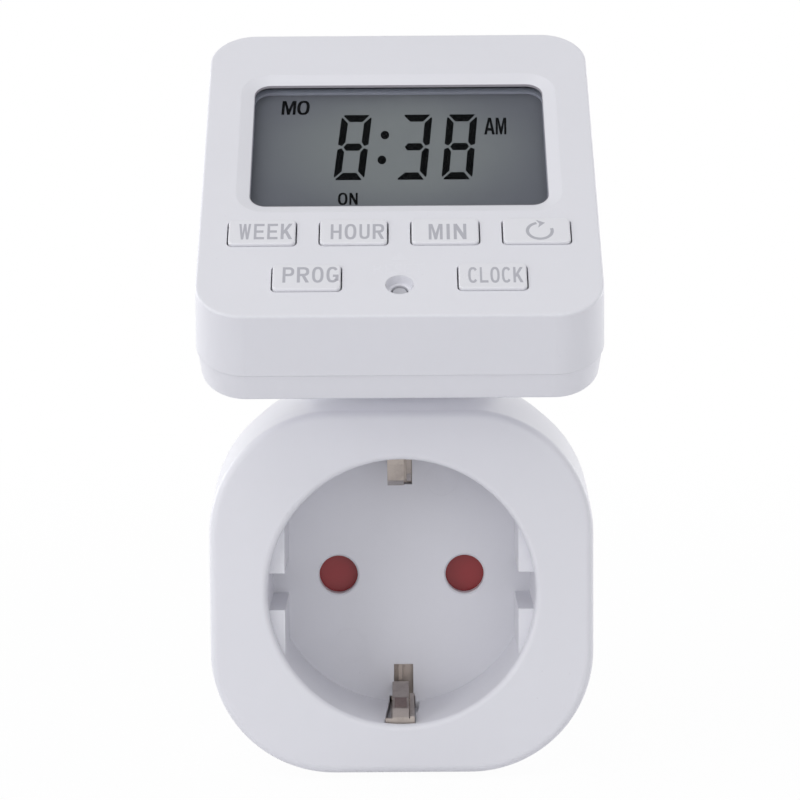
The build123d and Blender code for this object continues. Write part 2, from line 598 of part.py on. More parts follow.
def head_rear_shell():
    slope = math.tan(math.radians(HEAD_DRAFT))
    edge = HEAD_FRONT_DEPTH * slope - HEAD_STEP
    end = edge - HEAD_REAR_DEPTH * 2 * slope
    shell = head_block(HEAD_FRONT_DEPTH, HEAD_DEPTH, edge, end)
    shell = fillet(shell.faces().sort_by(Axis.Z)[0].edges(), HEAD_REAR_FILLET)
    shell -= head_block(HEAD_FRONT_DEPTH, HEAD_FLOOR_DEPTH, edge - HEAD_WALL, end - HEAD_WALL)
    for x, v in corners(HEAD_SCREW_X, HEAD_SCREW_V):
        shell += plate(Pos(x, v) * Circle(HEAD_BOSS_RADIUS), HEAD_FRONT_DEPTH, HEAD_FLOOR_DEPTH)
        shell -= plate(
            Pos(x, v) * Circle(HEAD_SCREW_HEAD_RADIUS + FIT_CLEARANCE),
            HEAD_DEPTH - HEAD_SCREW_HEAD - FIT_CLEARANCE,
            HEAD_DEPTH,
        )
        shell -= plate(
            Pos(x, v) * Circle(HEAD_SCREW_RADIUS + FIT_CLEARANCE), HEAD_FRONT_DEPTH, HEAD_DEPTH
        )
    for side in (-1, 1):
        for v in (HEAD_POST_TOP_V, HEAD_POST_TOP_V - HEAD_POST_PITCH):
            post = Pos(side * HEAD_POST_X, v) * Circle(HEAD_POST_RADIUS)
            shell += plate(post, BOARD_REAR_DEPTH, HEAD_FLOOR_DEPTH)
    shell = on_head(shell)
    shell += neck_column() & below_head(HEAD_DEPTH - HEAD_WALL / 2)
    rear = HEAD.offset(-HEAD_DEPTH)
    seam = shell.edges().filter_by(lambda edge: abs(rear.to_local_coords(edge.center()).Z) < 1e-4)
    reach = NECK_DEPTH / 2 + RUNNING_CLEARANCE
    seam = seam.filter_by(lambda edge: abs(edge.center().Y - NECK_CENTRE_Y) < reach)
    reach = NECK_WIDTH / 2 + RUNNING_CLEARANCE
    shell = fillet(seam.filter_by(lambda edge: abs(edge.center().X) < reach), NECK_FILLET)
    low = neck_bottom()
    flange_y = (NECK_FRONT_Y - NECK_FLANGE_LIP, NECK_FRONT_Y + NECK_DEPTH + NECK_FLANGE_LIP)
    half = NECK_FLANGE_WIDTH / 2
    shell += block((-half, half), flange_y, (low, low + NECK_FLANGE))
    shell -= neck_column(inset=NECK_WALL) & below_head(HEAD_FLOOR_DEPTH)
    return shell


# ---------------------------------------------------------------------------- head front shell
def head_front_shell():
    slope = math.tan(math.radians(HEAD_DRAFT))
    edge = HEAD_FRONT_DEPTH * slope
    shell = head_block(0, HEAD_FRONT_DEPTH, 0, edge)
    shell = fillet(shell.faces().sort_by(Axis.Z)[-1].edges(), HEAD_EDGE_FILLET)
    shell -= head_block(
        HEAD_WALL, HEAD_FRONT_DEPTH, HEAD_WALL * slope - HEAD_WALL, edge - HEAD_WALL
    )
    for x, v in corners(HEAD_SCREW_X, HEAD_SCREW_V):
        shell += plate(Pos(x, v) * Circle(HEAD_BOSS_RADIUS), HEAD_WALL / 2, HEAD_FRONT_DEPTH)
        bore = Pos(x, v) * Circle(HEAD_SCREW_RADIUS + RUNNING_CLEARANCE)
        top = HEAD_DEPTH - HEAD_SCREW_HEAD - HEAD_SCREW_LENGTH - 2 * FIT_CLEARANCE
        shell -= plate(bore, top, HEAD_FRONT_DEPTH)

    centre = Pos(0, WINDOW_V)
    window = RectangleRounded(WINDOW_WIDTH, WINDOW_HEIGHT, WINDOW_CORNER)
    shell -= plate(centre * window, 0, HEAD_WALL)
    lens = RectangleRounded(
        WINDOW_WIDTH + 2 * (LENS_MARGIN + FIT_CLEARANCE),
        WINDOW_HEIGHT + 2 * (LENS_MARGIN + FIT_CLEARANCE),
        WINDOW_CORNER,
    )
    shell -= plate(centre * lens, LENS_DEPTH, HEAD_WALL)
    wide = RectangleRounded(
        WINDOW_WIDTH + 2 * WINDOW_BEVEL, WINDOW_HEIGHT + 2 * WINDOW_BEVEL, WINDOW_CORNER + WINDOW_BEVEL
    )
    bevel = [Plane.XY.offset(-WINDOW_BEVEL_DEPTH) * (centre * window), centre * wide]
    shell -= loft(bevel, ruled=True)

    hole = RectangleRounded(
        KEY_WIDTH + 2 * KEY_GAP, KEY_HEIGHT + 2 * KEY_END_GAP, KEY_CORNER + KEY_END_GAP
    )
    for x, v in KEY_PLACES.values():
        shell -= plate(Pos(x, v) * hole, 0, HEAD_WALL)
    shell -= plate(Pos(0, RESET_V) * Circle(RESET_HOLE_RADIUS), 0, HEAD_WALL)
    cone = Cone(RESET_RECESS_FLOOR_RADIUS, RESET_RECESS_RADIUS, RESET_RECESS_DEPTH)
    shell -= Pos(0, RESET_V, -RESET_RECESS_DEPTH / 2) * cone
    return on_head(shell)


# ------------------------------------------------------------------------------------- display
def display_parts():
    centre = Pos(0, WINDOW_V)
    lens = RectangleRounded(
        WINDOW_WIDTH + 2 * LENS_MARGIN, WINDOW_HEIGHT + 2 * LENS_MARGIN, WINDOW_CORNER
    )
    parts["lcd_window"] = on_head(plate(centre * lens, LENS_DEPTH, LENS_DEPTH + LENS_THICKNESS))
    cell = Rectangle(LCD_WIDTH, LCD_HEIGHT)
    cell_back = LCD_DEPTH + LCD_THICKNESS
    parts["lcd_cell"] = on_head(plate(centre * cell, LCD_DEPTH, cell_back))
    ledge = ZEBRA_WIDTH + 2 * FIT_CLEARANCE
    reflector = Rectangle(LCD_WIDTH, LCD_HEIGHT - 2 * ledge)
    parts["lcd_reflector"] = on_head(
        plate(centre * reflector, cell_back, cell_back + REFLECTOR_THICKNESS)
    )
    strips = Sketch()
    for side in (-1, 1):
        v = WINDOW_V + side * (LCD_HEIGHT - ZEBRA_WIDTH) / 2
        strips += Pos(0, v) * Rectangle(LCD_WIDTH - 2 * ZEBRA_END_GAP, ZEBRA_WIDTH)
    parts["zebra_strips"] = on_head(plate(strips, cell_back, CONTROL_BOARD_DEPTH))
    gap = 2 * FIT_CLEARANCE
    inside = Rectangle(LCD_WIDTH + gap, LCD_HEIGHT + gap)
    wall = gap + 2 * LCD_FRAME_WALL
    outside = RectangleRounded(LCD_WIDTH + wall, LCD_HEIGHT + wall, LCD_FRAME_WALL)
    parts["lcd_frame"] = on_head(plate(centre * (outside - inside), LCD_DEPTH, CONTROL_BOARD_DEPTH))


# -------------------------------------------------------------------------------- control board
def control_board_parts():
    margin = 2 * (HEAD_WALL + CONTROL_BOARD_MARGIN)
    board = RectangleRounded(HEAD_WIDTH - margin, HEAD_LENGTH - margin, HEAD_CORNER - HEAD_WALL)
    for x, v in corners(HEAD_SCREW_X, HEAD_SCREW_V):
        board -= Pos(x, v) * Circle(HEAD_BOSS_RADIUS + 2 * FIT_CLEARANCE)
        board -= Pos(x * 1.15, v * 1.12) * Rectangle(2 * HEAD_BOSS_RADIUS, 2 * HEAD_BOSS_RADIUS)
    parts["control_board"] = on_head(plate(board, CONTROL_BOARD_DEPTH, BOARD_REAR_DEPTH))

    switches = Part()
    pocket = Circle(PLUNGER_RADIUS + MOVING_CLEARANCE)
    for x, v in SWITCH_PLACES.values():
        case = plate(
            Pos(x, v) * Rectangle(SWITCH_WIDTH, SWITCH_WIDTH), SWITCH_TOP_DEPTH, CONTROL_BOARD_DEPTH
        )
        switches += case - plate(
            Pos(x, v) * pocket, SWITCH_TOP_DEPTH, SWITCH_TOP_DEPTH + PLUNGER_POCKET
        )
    parts["tact_switches"] = on_head(switches)

    rear = BOARD_REAR_DEPTH
    blob = Pos(*PROCESSOR_PLACE) * Circle(PROCESSOR_RADIUS)
    blob = plate(blob, rear, rear + PROCESSOR_THICKNESS)
    blob = fillet(blob.edges().group_by(Axis.Z)[0], PROCESSOR_FILLET)
    parts["processor"] = on_head(blob)
    x, v = CRYSTAL_PLACE
    can = Rot(90, 0, 0) * Cylinder(CRYSTAL_RADIUS, CRYSTAL_LENGTH)
    parts["clock_crystal"] = on_head(Pos(x, v, -rear - CRYSTAL_RADIUS - RUNNING_CLEARANCE) * can)
    place = Pos(*BATTERY_PLACE)
    seat = rear + BATTERY_TAB
    cell = plate(place * Circle(BATTERY_RADIUS), seat, seat + BATTERY_THICKNESS)
    cell = fillet(cell.edges().group_by(Axis.Z)[0], BATTERY_FILLET)
    cell += plate(place * Rectangle(BATTERY_TAB_WIDTH, BATTERY_TAB_LENGTH), rear, seat)
    parts["backup_battery"] = on_head(cell)
    plug = Pos(RIBBON_X, HEAD_CONNECTOR_V) * connector_outline()
    parts["head_connector"] = on_head(plate(plug, rear, rear + HEAD_CONNECTOR_HEIGHT))


def connector_outline():
    """Outline of the moulded connector at each end of the ribbon cable."""
    return Rectangle(RIBBON_WIDTH + 2 * CONNECTOR_WALL, CONNECTOR_WIDTH)


# ---------------------------------------------------------------------------------------- keys
def key(x, v):
    """Key cap that passes through the face, with retaining lips behind it and a stem."""
    cap = plate(
        Pos(x, v) * RectangleRounded(KEY_WIDTH, KEY_HEIGHT, KEY_CORNER),
        -KEY_PROUD,
        HEAD_WALL + KEY_GAP + KEY_FLANGE,
    )
    cap = fillet(cap.edges().group_by(Axis.Z)[-1], KEY_TOP_FILLET)
    lips = Pos(x, v) * Rectangle(KEY_WIDTH + 2 * (KEY_GAP + KEY_FLANGE_LIP), KEY_HEIGHT)
    top = HEAD_WALL + KEY_GAP
    cap += plate(lips, top, top + KEY_FLANGE)
    cap += plate(Pos(x, v) * Circle(KEY_STEM_RADIUS), top + KEY_FLANGE / 2, STEM_DEPTH)
    return cap


def reset_button():
    """Small sunk button that a pen tip presses."""
    place = Pos(0, RESET_V)
    top = HEAD_WALL + KEY_GAP
    button = plate(place * Circle(RESET_HOLE_RADIUS - KEY_GAP), RESET_SINK, STEM_DEPTH)
    button += plate(place * Circle(RESET_FLANGE_RADIUS), top, top + KEY_FLANGE)
    return button


def key_parts():
    for name, (x, v) in KEY_PLACES.items():
        parts["key_" + name] = on_head(key(x, v))
    parts["reset_button"] = on_head(reset_button())
    for name, (x, v) in SWITCH_PLACES.items():
        plunger = plate(
            Pos(x, v) * Circle(PLUNGER_RADIUS), STEM_DEPTH, SWITCH_TOP_DEPTH + PLUNGER_DEPTH
        )
        parts["plunger_" + name] = on_head(plunger)


# --------------------------------------------------------------------------- plug and contacts
def plug_pin(side):
    pin = slab(Circle(PIN_RADIUS), 0, PIN_LENGTH)
    pin = fillet(pin.edges().group_by(Axis.Y)[-1], PIN_TIP_FILLET)
    pin += slab(Circle(PIN_ROOT_RADIUS), -PIN_INNER_LENGTH, 0)
    pin += slab(Circle(PIN_COLLAR_RADIUS), -PLUG_END_WALL - PIN_COLLAR_LENGTH, -PLUG_END_WALL)
    return Pos(side * PIN_X, 0, 0) * pin


def pin_lead(side):
    """Strip from a pin's inner end to the power board's back."""
    y = -PIN_INNER_LENGTH - METAL / 2
    low = -PIN_ROOT_RADIUS - METAL
    line = [(y, PIN_ROOT_RADIUS), (y, low), (BOARD_BACK_Y, low)]
    x = side * PIN_X
    return strip(line, METAL, x - LEAD_WIDTH / 2, x + LEAD_WIDTH / 2)


def spring_contact(side):
    """Two-leaf contact that grips a pin, with a foot on the power board."""
    half = CONTACT_LEAF / 2
    reach = CONTACT_BASE_Y - CONTACT_FRONT_Y
    right = [
        (0, CONTACT_BASE_Y - half),
        (CONTACT_BASE, CONTACT_BASE_Y - half),
        (CONTACT_BASE, CONTACT_BASE_Y - reach * 0.3),
        (CONTACT_PINCH + half, CONTACT_BASE_Y - reach * 0.75),
        (CONTACT_MOUTH + half, CONTACT_FRONT_Y),
    ]
    left = [(-x, y) for x, y in reversed(right[1:])]
    outline = thick_line(left + right[1:], CONTACT_LEAF)
    contact = extrude(Pos(0, 0, -CONTACT_HEIGHT / 2) * outline, amount=CONTACT_HEIGHT)
    foot = (-LEAD_WIDTH / 2, LEAD_WIDTH / 2)
    contact += block(foot, (CONTACT_BASE_Y, BOARD_FRONT_Y), (-METAL / 2, METAL / 2))
    return Pos(side * PIN_X, 0, 0) * contact


def clip_leaf(line, tail, apex, x_from, x_to):
    """Leaf of a clip: it rises to its apex and bends back, by steps along and out."""
    crest = apex + METAL / 2
    apex_y = FRONT_Y + TONGUE_APEX_DEPTH
    line = line + [(apex_y, crest), (apex_y + tail[0], crest + tail[1])]
    if tail == TONGUE_TAIL:
        end = EARTH_SLOT_RADIUS + TONGUE_END_RISE
        line += [(FLOOR_Y - TONGUE_END[0], end), (FLOOR_Y - TONGUE_END[1], end)]
    return strip(line, METAL, x_from, x_to)


def earth_strip(lower):
    """Earth strip of the upper side, from the plug's side contact to the spring clip in the
    well. The lower side's one is made here too, with its foot and heel, and mirrored later."""
    half = METAL / 2
    outer = EARTH_PLUG_RADIUS - half
    inner = EARTH_WELL_RADIUS + half
    edge = EARTH_WIDTH / 2
    turn = FRONT_Y + EARTH_CHANNEL_START + METAL
    crest = TONGUE_APEX + half
    shoulder = WELL_RADIUS - METAL
    base = [
        (-EARTH_END_GAP, outer),
        (CONTACT_FRONT_Y + EARTH_BEND, outer),
        (FLOOR_BACK_Y + METAL, inner),
        (turn, inner),
    ]
    body = strip(base, METAL, -edge, edge)
    if lower:
        foot = (turn - half, turn + half)
        body += block((-EARTH_FOOT_LEFT, edge), foot, (shoulder, inner + half))
        middle = LOWER_TONGUE_X
        bend = (turn + LOWER_TONGUE_SHOULDER[0], shoulder - LOWER_TONGUE_SHOULDER[1])
        ramp = (turn + LOWER_TONGUE_RAMP[0], crest + LOWER_TONGUE_RAMP[1])
        root = [(turn, WELL_RADIUS), (turn, shoulder)]
        finger_x = LOWER_FINGER_X
        finger_apex = WELL_RADIUS - LOWER_FINGER_RISE
    else:
        middle = UPPER_TONGUE_X
        bend = (turn + UPPER_TONGUE_ROOT[0], WELL_RADIUS - UPPER_TONGUE_ROOT[1])
        ramp = (turn + UPPER_TONGUE_RAMP[0], crest + UPPER_TONGUE_RAMP[1])
        root = [(turn, inner)]
        finger_x = UPPER_FINGER_X
        finger_apex = WELL_RADIUS - UPPER_FINGER_RISE
    near = middle - TONGUE_WIDTH / 2
    body += clip_leaf(root + [bend, ramp], TONGUE_TAIL, TONGUE_APEX, near, near + TONGUE_WIDTH)
    ramp = (turn + FINGER_RAMP[0], finger_apex + half + FINGER_RAMP[1])
    body += clip_leaf(root + [ramp], FINGER_TAIL, finger_apex, finger_x, finger_x + FINGER_WIDTH)
    # The heel behind the floor shows through the floor's slot.
    back = FLOOR_BACK_Y + METAL
    rise = (EARTH_SLOT_RADIUS, EARTH_WELL_RADIUS + METAL)
    body += block((-HEEL_SIDE, HEEL_SIDE), (FLOOR_BACK_Y + RUNNING_CLEARANCE, back), rise)
    body += block(HEEL_RIB, (FLOOR_BACK_Y - HEEL_RIB_RISE, back), rise)
    return body


def contact_parts():
    for name, side in (("live", 1), ("neutral", -1)):
        parts["plug_pin_" + name] = plug_pin(side)
        parts[name + "_lead"] = pin_lead(side)
        parts[name + "_contact"] = spring_contact(side)
    parts["earth_strip_upper"] = earth_strip(False)
    parts["earth_strip_lower"] = mirror(earth_strip(True), about=Plane.XY)
    middle = (CONTACT_FRONT_Y + CONTACT_BASE_Y) / 2
    reach = EARTH_PLUG_RADIUS - METAL
    half = EARTH_WIDTH / 2
    parts["earth_link"] = block(
        (-half, half), (middle - METAL / 2, middle + METAL / 2), (-reach, reach)
    )


# --------------------------------------------------------------------------------- the shutter
def shutter_parts():
    blade = RectangleRounded(
        2 * (PIN_X + SHUTTER_BLADE), 2 * SHUTTER_BLADE, SHUTTER_BLADE - RUNNING_CLEARANCE
    )
    outline = blade + Circle(SHUTTER_HUB_RADIUS)
    outline -= Circle(SHUTTER_POST_RADIUS + RUNNING_CLEARANCE)
    shutter = slab(outline, SHUTTER_FRONT_Y, SHUTTER_BACK_Y)
    parts["safety_shutter"] = shutter

    spread = RectangleRounded(CARRIER_WIDTH, CARRIER_HEIGHT, CARRIER_HEIGHT / 2.2)
    spread += RectangleRounded(CARRIER_ARM_WIDTH, CARRIER_ARM_HEIGHT, 2)
    for side in (-1, 1):
        spread -= Pos(side * PIN_X, 0) * Circle(PIN_HOLE_RADIUS + MOVING_CLEARANCE)
        spread -= Pos(0, side * CARRIER_SCREW_Z) * Circle(CARRIER_SCREW_RADIUS + FIT_CLEARANCE)
    carrier = slab(spread, CARRIER_FRONT_Y, CARRIER_BACK_Y)
    carrier += slab(Circle(SHUTTER_POST_RADIUS), FLOOR_BACK_Y, CARRIER_FRONT_Y)
    seat = SHUTTER_BLADE + MOVING_CLEARANCE + SPRING_LENGTH + MOVING_CLEARANCE
    lug = (seat, seat + METAL)
    wide = (SPRING_X - SPRING_LUG_WIDTH / 2, SPRING_X + SPRING_LUG_WIDTH / 2)
    carrier += block(wide, (SHUTTER_FRONT_Y, CARRIER_FRONT_Y), lug)
    parts["shutter_carrier"] = carrier

    pitch = (SPRING_LENGTH - 2 * SPRING_WIRE) / SPRING_TURNS
    path = Helix(pitch, SPRING_LENGTH - 2 * SPRING_WIRE, SPRING_RADIUS)
    section = Plane(origin=path @ 0, z_dir=path % 0) * Circle(SPRING_WIRE)
    coil = sweep(section, path=path)
    middle = (SHUTTER_FRONT_Y + SHUTTER_BACK_Y) / 2
    low = SHUTTER_BLADE + MOVING_CLEARANCE + SPRING_WIRE
    parts["shutter_spring"] = Pos(SPRING_X, middle, low) * coil

    fixing = screw(
        CARRIER_SCREW_RADIUS,
        CARRIER_BACK_Y - FLOOR_BACK_Y + FLOOR / 3,
        CARRIER_SCREW_HEAD_RADIUS,
        CARRIER_SCREW_HEAD,
        SMALL_SCREW_SLOT,
    )
    pair = Part()
    for side in (-1, 1):
        pair += screw_at((0, CARRIER_BACK_Y, side * CARRIER_SCREW_Z), fixing)
    parts["carrier_screws"] = pair


# ------------------------------------------------------------------------------ the power board
def power_board():
    height = 2 * BOARD_EDGE_Z
    outline = RectangleRounded(2 * BOARD_EDGE_X, height, BODY_CORNER - WALL - BOARD_MARGIN)
    for x, z in corners(CASE_SCREW_X, CASE_SCREW_Z):
        outline -= Pos(x, z) * Circle(CASE_TUBE_RADIUS + 2 * FIT_CLEARANCE)
        outline -= Pos(x * 1.2, z * 1.2) * Rectangle(2 * CASE_TUBE_RADIUS, 2 * CASE_TUBE_RADIUS)
    for x, z in corners(BOARD_SCREW_X, BOARD_SCREW_Z):
        outline -= Pos(x, z) * Circle(BOARD_SCREW_RADIUS + FIT_CLEARANCE)
    for side in (-1, 1):
        low = EARTH_PLUG_RADIUS - METAL - 4 * FIT_CLEARANCE
        notch = Rectangle(EARTH_WIDTH + 6 * FIT_CLEARANCE, height)
        outline -= Pos(0, side * (low + height / 2)) * notch
    return slab(outline, BOARD_FRONT_Y, BOARD_BACK_Y)


def relay_parts():
    front = BOARD_FRONT_Y - RELAY_DEPTH
    shape = Pos(RELAY_X, 0) * Rectangle(RELAY_WIDTH, RELAY_HEIGHT)
    parts["relay_base"] = slab(shape, RELAY_SEAT_Y, BOARD_FRONT_Y)
    case = slab(shape, front, RELAY_SEAT_Y)
    case = fillet(case.faces().sort_by(Axis.Y)[0].edges(), RELAY_WALL / 2)
    inside = Rectangle(RELAY_WIDTH - 2 * RELAY_WALL, RELAY_HEIGHT - 2 * RELAY_WALL)
    case -= slab(Pos(RELAY_X, 0) * inside, front + RELAY_WALL, RELAY_SEAT_Y)
    parts["relay_case"] = case

    low = RELAY_LOW_Z
    pole = low + POLE_HEIGHT
    axis_y = RELAY_SEAT_Y - COIL_AXIS
    flange = RELAY_WIDTH / 2 - RELAY_WALL - MOVING_CLEARANCE
    start = low + RELAY_IRON
    end = pole - POLE_THICKNESS
    winding = block_cylinder(flange - COIL_FLANGE_LIP, start, end)
    winding += block_cylinder(flange, start, start + COIL_FLANGE)
    winding += block_cylinder(flange, end - COIL_FLANGE, end)
    winding -= block_cylinder(CORE_RADIUS + RUNNING_CLEARANCE, low, pole)
    parts["relay_coil"] = Pos(RELAY_X, axis_y, 0) * winding
    core = block_cylinder(CORE_RADIUS, low, pole) + block_cylinder(POLE_RADIUS, end, pole)
    yoke = Pos(RELAY_X, axis_y, 0) * core
    half = flange - 2 * MOVING_CLEARANCE
    wide = (RELAY_X - half, RELAY_X + half)
    back = ARMATURE_Y
    rest = ARMATURE_Z
    yoke += block(wide, (axis_y - flange, back), (low, low + RELAY_IRON))
    yoke += block(wide, (back - RELAY_IRON, back), (low, rest - MOVING_CLEARANCE / 2))
    parts["relay_yoke"] = yoke

    tip = axis_y - ARMATURE_REACH
    half = CONTACT_SPRING_WIDTH / 2
    slim = (RELAY_X - half, RELAY_X + half)
    armature = block(wide, (tip, back), (rest, rest + ARMATURE_PLATE))
    armature += block(slim, (tip, tip + CONTACT_SPRING), (rest, rest + CONTACT_SPRING_RISE))
    button = Rot(90, 0, 0) * Cylinder(CONTACT_BUTTON_RADIUS, CONTACT_OPENING)
    armature += Pos(RELAY_X, tip, rest + CONTACT_BUTTON_RISE) * button
    parts["relay_armature"] = armature

    face = tip - CONTACT_OPENING
    roof = RELAY_HEIGHT / 2 - RELAY_WALL - FIT_CLEARANCE
    sheet = (face - FIXED_CONTACT, face)
    fixed = block(slim, sheet, (rest + FIXED_CONTACT_RISE, roof))
    fixed += block(slim, (sheet[0], RELAY_SEAT_Y), (roof - FIXED_CONTACT, roof))
    parts["relay_contact"] = fixed


def block_cylinder(radius, low, high):
    """Upright cylinder between two heights."""
    return extrude(Plane.XY.offset(low) * Circle(radius), amount=high - low)


def board_parts():
    parts["power_board"] = power_board()
    fixing = screw(
        BOARD_SCREW_RADIUS,
        BOARD_SCREW_LENGTH,
        BOARD_SCREW_HEAD_RADIUS,
        BOARD_SCREW_HEAD,
        SMALL_SCREW_SLOT,
    )
    group = Part()
    for x, z in corners(BOARD_SCREW_X, BOARD_SCREW_Z):
        group += Pos(x, BOARD_FRONT_Y, z) * Rot(90, 0, 0) * fixing
    parts["board_screws"] = group

    x = -BOARD_EDGE_X + CAPACITOR_EDGE_GAP + CAPACITOR_WIDTH / 2
    film = RectangleRounded(CAPACITOR_WIDTH, CAPACITOR_HEIGHT, CAPACITOR_CORNER)
    film = slab(Pos(x, 0) * film, BOARD_FRONT_Y - CAPACITOR_DEPTH, BOARD_FRONT_Y)
    parts["film_capacitor"] = film
    z = -BOARD_EDGE_Z + CAN_EDGE_GAP + CAN_RADIUS
    can = slab(Pos(CAN_X, z) * Circle(CAN_RADIUS), BOARD_FRONT_Y - CAN_LENGTH, BOARD_FRONT_Y)
    parts["electrolytic_capacitor"] = fillet(can.edges().group_by(Axis.Y)[0], CAN_FILLET)
    z = -BOARD_EDGE_Z + VARISTOR_EDGE_GAP + VARISTOR_THICKNESS / 2
    y = BOARD_FRONT_Y - VARISTOR_STAND - VARISTOR_RADIUS
    disc = Pos(VARISTOR_X, y, z) * Cylinder(VARISTOR_RADIUS, VARISTOR_THICKNESS)
    for side in (-1, 1):
        x = VARISTOR_X + side * LEG_SPREAD
        leg = (x - LEG_SIZE / 2, x + LEG_SIZE / 2)
        disc += block(leg, (y, BOARD_FRONT_Y), (z - LEG_SIZE / 2, z + LEG_SIZE / 2))
    parts["varistor"] = disc
    diodes = Part()
    for index in range(4):
        x = DIODE_X - DIODE_PITCH * index
        diodes += Pos(x, BOARD_FRONT_Y - DIODE_RADIUS, DIODE_Z) * Cylinder(DIODE_RADIUS, DIODE_LENGTH)
    parts["rectifier_diodes"] = diodes
    resistors = Part()
    z = DIODE_Z + DIODE_LENGTH / 2 + RESISTOR_GAP + RESISTOR_LENGTH / 2
    body = fillet(Cylinder(RESISTOR_RADIUS, RESISTOR_LENGTH).edges(), RESISTOR_FILLET)
    for index in range(3):
        x = DIODE_X - RESISTOR_PITCH * index
        resistors += Pos(x, BOARD_FRONT_Y - RESISTOR_RADIUS, z) * body
    parts["resistors"] = resistors

    low = BOARD_EDGE_Z - CONNECTOR_EDGE_GAP - CONNECTOR_WIDTH / 2
    face = BOARD_FRONT_Y - CONNECTOR_HEIGHT
    jack = Pos(RIBBON_X, low) * connector_outline()
    parts["board_connector"] = slab(jack, face, BOARD_FRONT_Y)
    end = HEAD.from_local_coords(
        Vector(0, HEAD_CONNECTOR_V, -BOARD_REAR_DEPTH - HEAD_CONNECTOR_HEIGHT)
    )
    # The ribbon climbs midway between the well's floor and the neck's rear wall.
    back = (FLOOR_BACK_Y + NECK_BACK_Y - NECK_WALL) / 2
    run = (back - end.Y) / math.cos(TILT)
    line = FilletPolyline(
        (face, low),
        (back, low),
        (back, end.Z - run * math.sin(TILT)),
        (end.Y, end.Z),
        radius=RIBBON_BEND,
    )
    plane = Plane(origin=(RIBBON_X - RIBBON_WIDTH / 2, 0, 0), x_dir=(0, 1, 0), z_dir=(1, 0, 0))
    parts["ribbon_cable"] = extrude(plane * trace(line, RIBBON_THICKNESS), amount=RIBBON_WIDTH)


# ---------------------------------------------------------------------------------- fasteners
def fastener_parts():
    fixing = screw(
        CASE_SCREW_RADIUS,
        CASE_SCREW_LENGTH,
        CASE_SCREW_HEAD_RADIUS,
        CASE_SCREW_HEAD,
        LARGE_SCREW_SLOT,
    )
    group = Part()
    seat = REAR_Y - CASE_SCREW_RECESS - CASE_SCREW_HEAD
    for x, z in corners(CASE_SCREW_X, CASE_SCREW_Z):
        group += screw_at((x, seat, z), fixing)
    parts["case_screws"] = group
    fixing = screw(
        HEAD_SCREW_RADIUS,
        HEAD_SCREW_LENGTH,
        HEAD_SCREW_HEAD_RADIUS,
        HEAD_SCREW_HEAD,
        SMALL_SCREW_SLOT,
    )
    group = Part()
    seat = HEAD_DEPTH - HEAD_SCREW_HEAD - FIT_CLEARANCE
    for x, v in corners(HEAD_SCREW_X, HEAD_SCREW_V):
        group += Pos(x, v, -seat) * Rot(180, 0, 0) * fixing
    parts["head_screws"] = on_head(group)


# ------------------------------------------------------------------------------------ assembly
parts["socket_front_shell"] = socket_front_shell()
parts["socket_rear_shell"] = socket_rear_shell()
parts["head_front_shell"] = head_front_shell()
parts["head_rear_shell"] = head_rear_shell()
display_parts()
control_board_parts()
key_parts()
contact_parts()
shutter_parts()
relay_parts()
board_parts()
fastener_parts()

os.makedirs("parts", exist_ok=True)
for name, shape in parts.items():
    export_step(shape, "parts/" + name + ".step")
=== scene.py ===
import json
import math

import bmesh
import bpy
from mathutils import Matrix, Vector


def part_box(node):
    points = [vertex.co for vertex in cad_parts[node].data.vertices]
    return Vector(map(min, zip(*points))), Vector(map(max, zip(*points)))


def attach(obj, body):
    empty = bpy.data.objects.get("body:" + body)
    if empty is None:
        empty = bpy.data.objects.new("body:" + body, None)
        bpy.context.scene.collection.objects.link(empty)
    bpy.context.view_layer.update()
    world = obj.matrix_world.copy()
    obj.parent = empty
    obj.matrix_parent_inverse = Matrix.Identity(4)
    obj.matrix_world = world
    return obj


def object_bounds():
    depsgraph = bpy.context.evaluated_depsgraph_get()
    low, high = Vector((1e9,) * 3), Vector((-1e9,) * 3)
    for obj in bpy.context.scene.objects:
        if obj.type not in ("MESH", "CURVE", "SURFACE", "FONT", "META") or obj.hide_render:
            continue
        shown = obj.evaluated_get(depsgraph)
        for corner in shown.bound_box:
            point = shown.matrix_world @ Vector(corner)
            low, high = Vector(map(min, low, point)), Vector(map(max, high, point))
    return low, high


bl_info = {
    "name": "Plug-in timer switch",
    "version": (1, 0, 0),
    "blender": (4, 5, 0),
    "location": "View3D > Sidebar > Timer",
    "description": "Finishes, display and legends of a plug-in digital timer switch",
    "category": "Object",
}

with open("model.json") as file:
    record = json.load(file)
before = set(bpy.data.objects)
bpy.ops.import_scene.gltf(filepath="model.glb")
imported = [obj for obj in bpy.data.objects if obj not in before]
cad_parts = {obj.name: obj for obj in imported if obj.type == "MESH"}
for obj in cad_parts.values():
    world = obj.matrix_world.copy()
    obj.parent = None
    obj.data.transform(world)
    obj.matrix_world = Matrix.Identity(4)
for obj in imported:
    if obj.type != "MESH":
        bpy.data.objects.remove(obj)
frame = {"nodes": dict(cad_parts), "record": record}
CAD_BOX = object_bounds()
NODES = frame["nodes"]
MM = 0.001

# The head leans back. Its own axes are across the face, up the face and out of the face.
HEAD_LEAN = math.radians(37.2)
ACROSS = Vector((1, 0, 0))
UP_FACE = Vector((0, math.cos(HEAD_LEAN), math.sin(HEAD_LEAN)))
OUT_OF_FACE = Vector((0, -math.sin(HEAD_LEAN), math.cos(HEAD_LEAN)))
HEAD_TURN = Matrix((ACROSS, UP_FACE, OUT_OF_FACE)).transposed()


def reach(node, axis):
    """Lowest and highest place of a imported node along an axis."""
    places = [vertex.co.dot(axis) for vertex in NODES[node].data.vertices]
    return min(places), max(places)


def middle(node, axis):
    """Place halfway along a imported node, along an axis."""
    return sum(reach(node, axis)) / 2


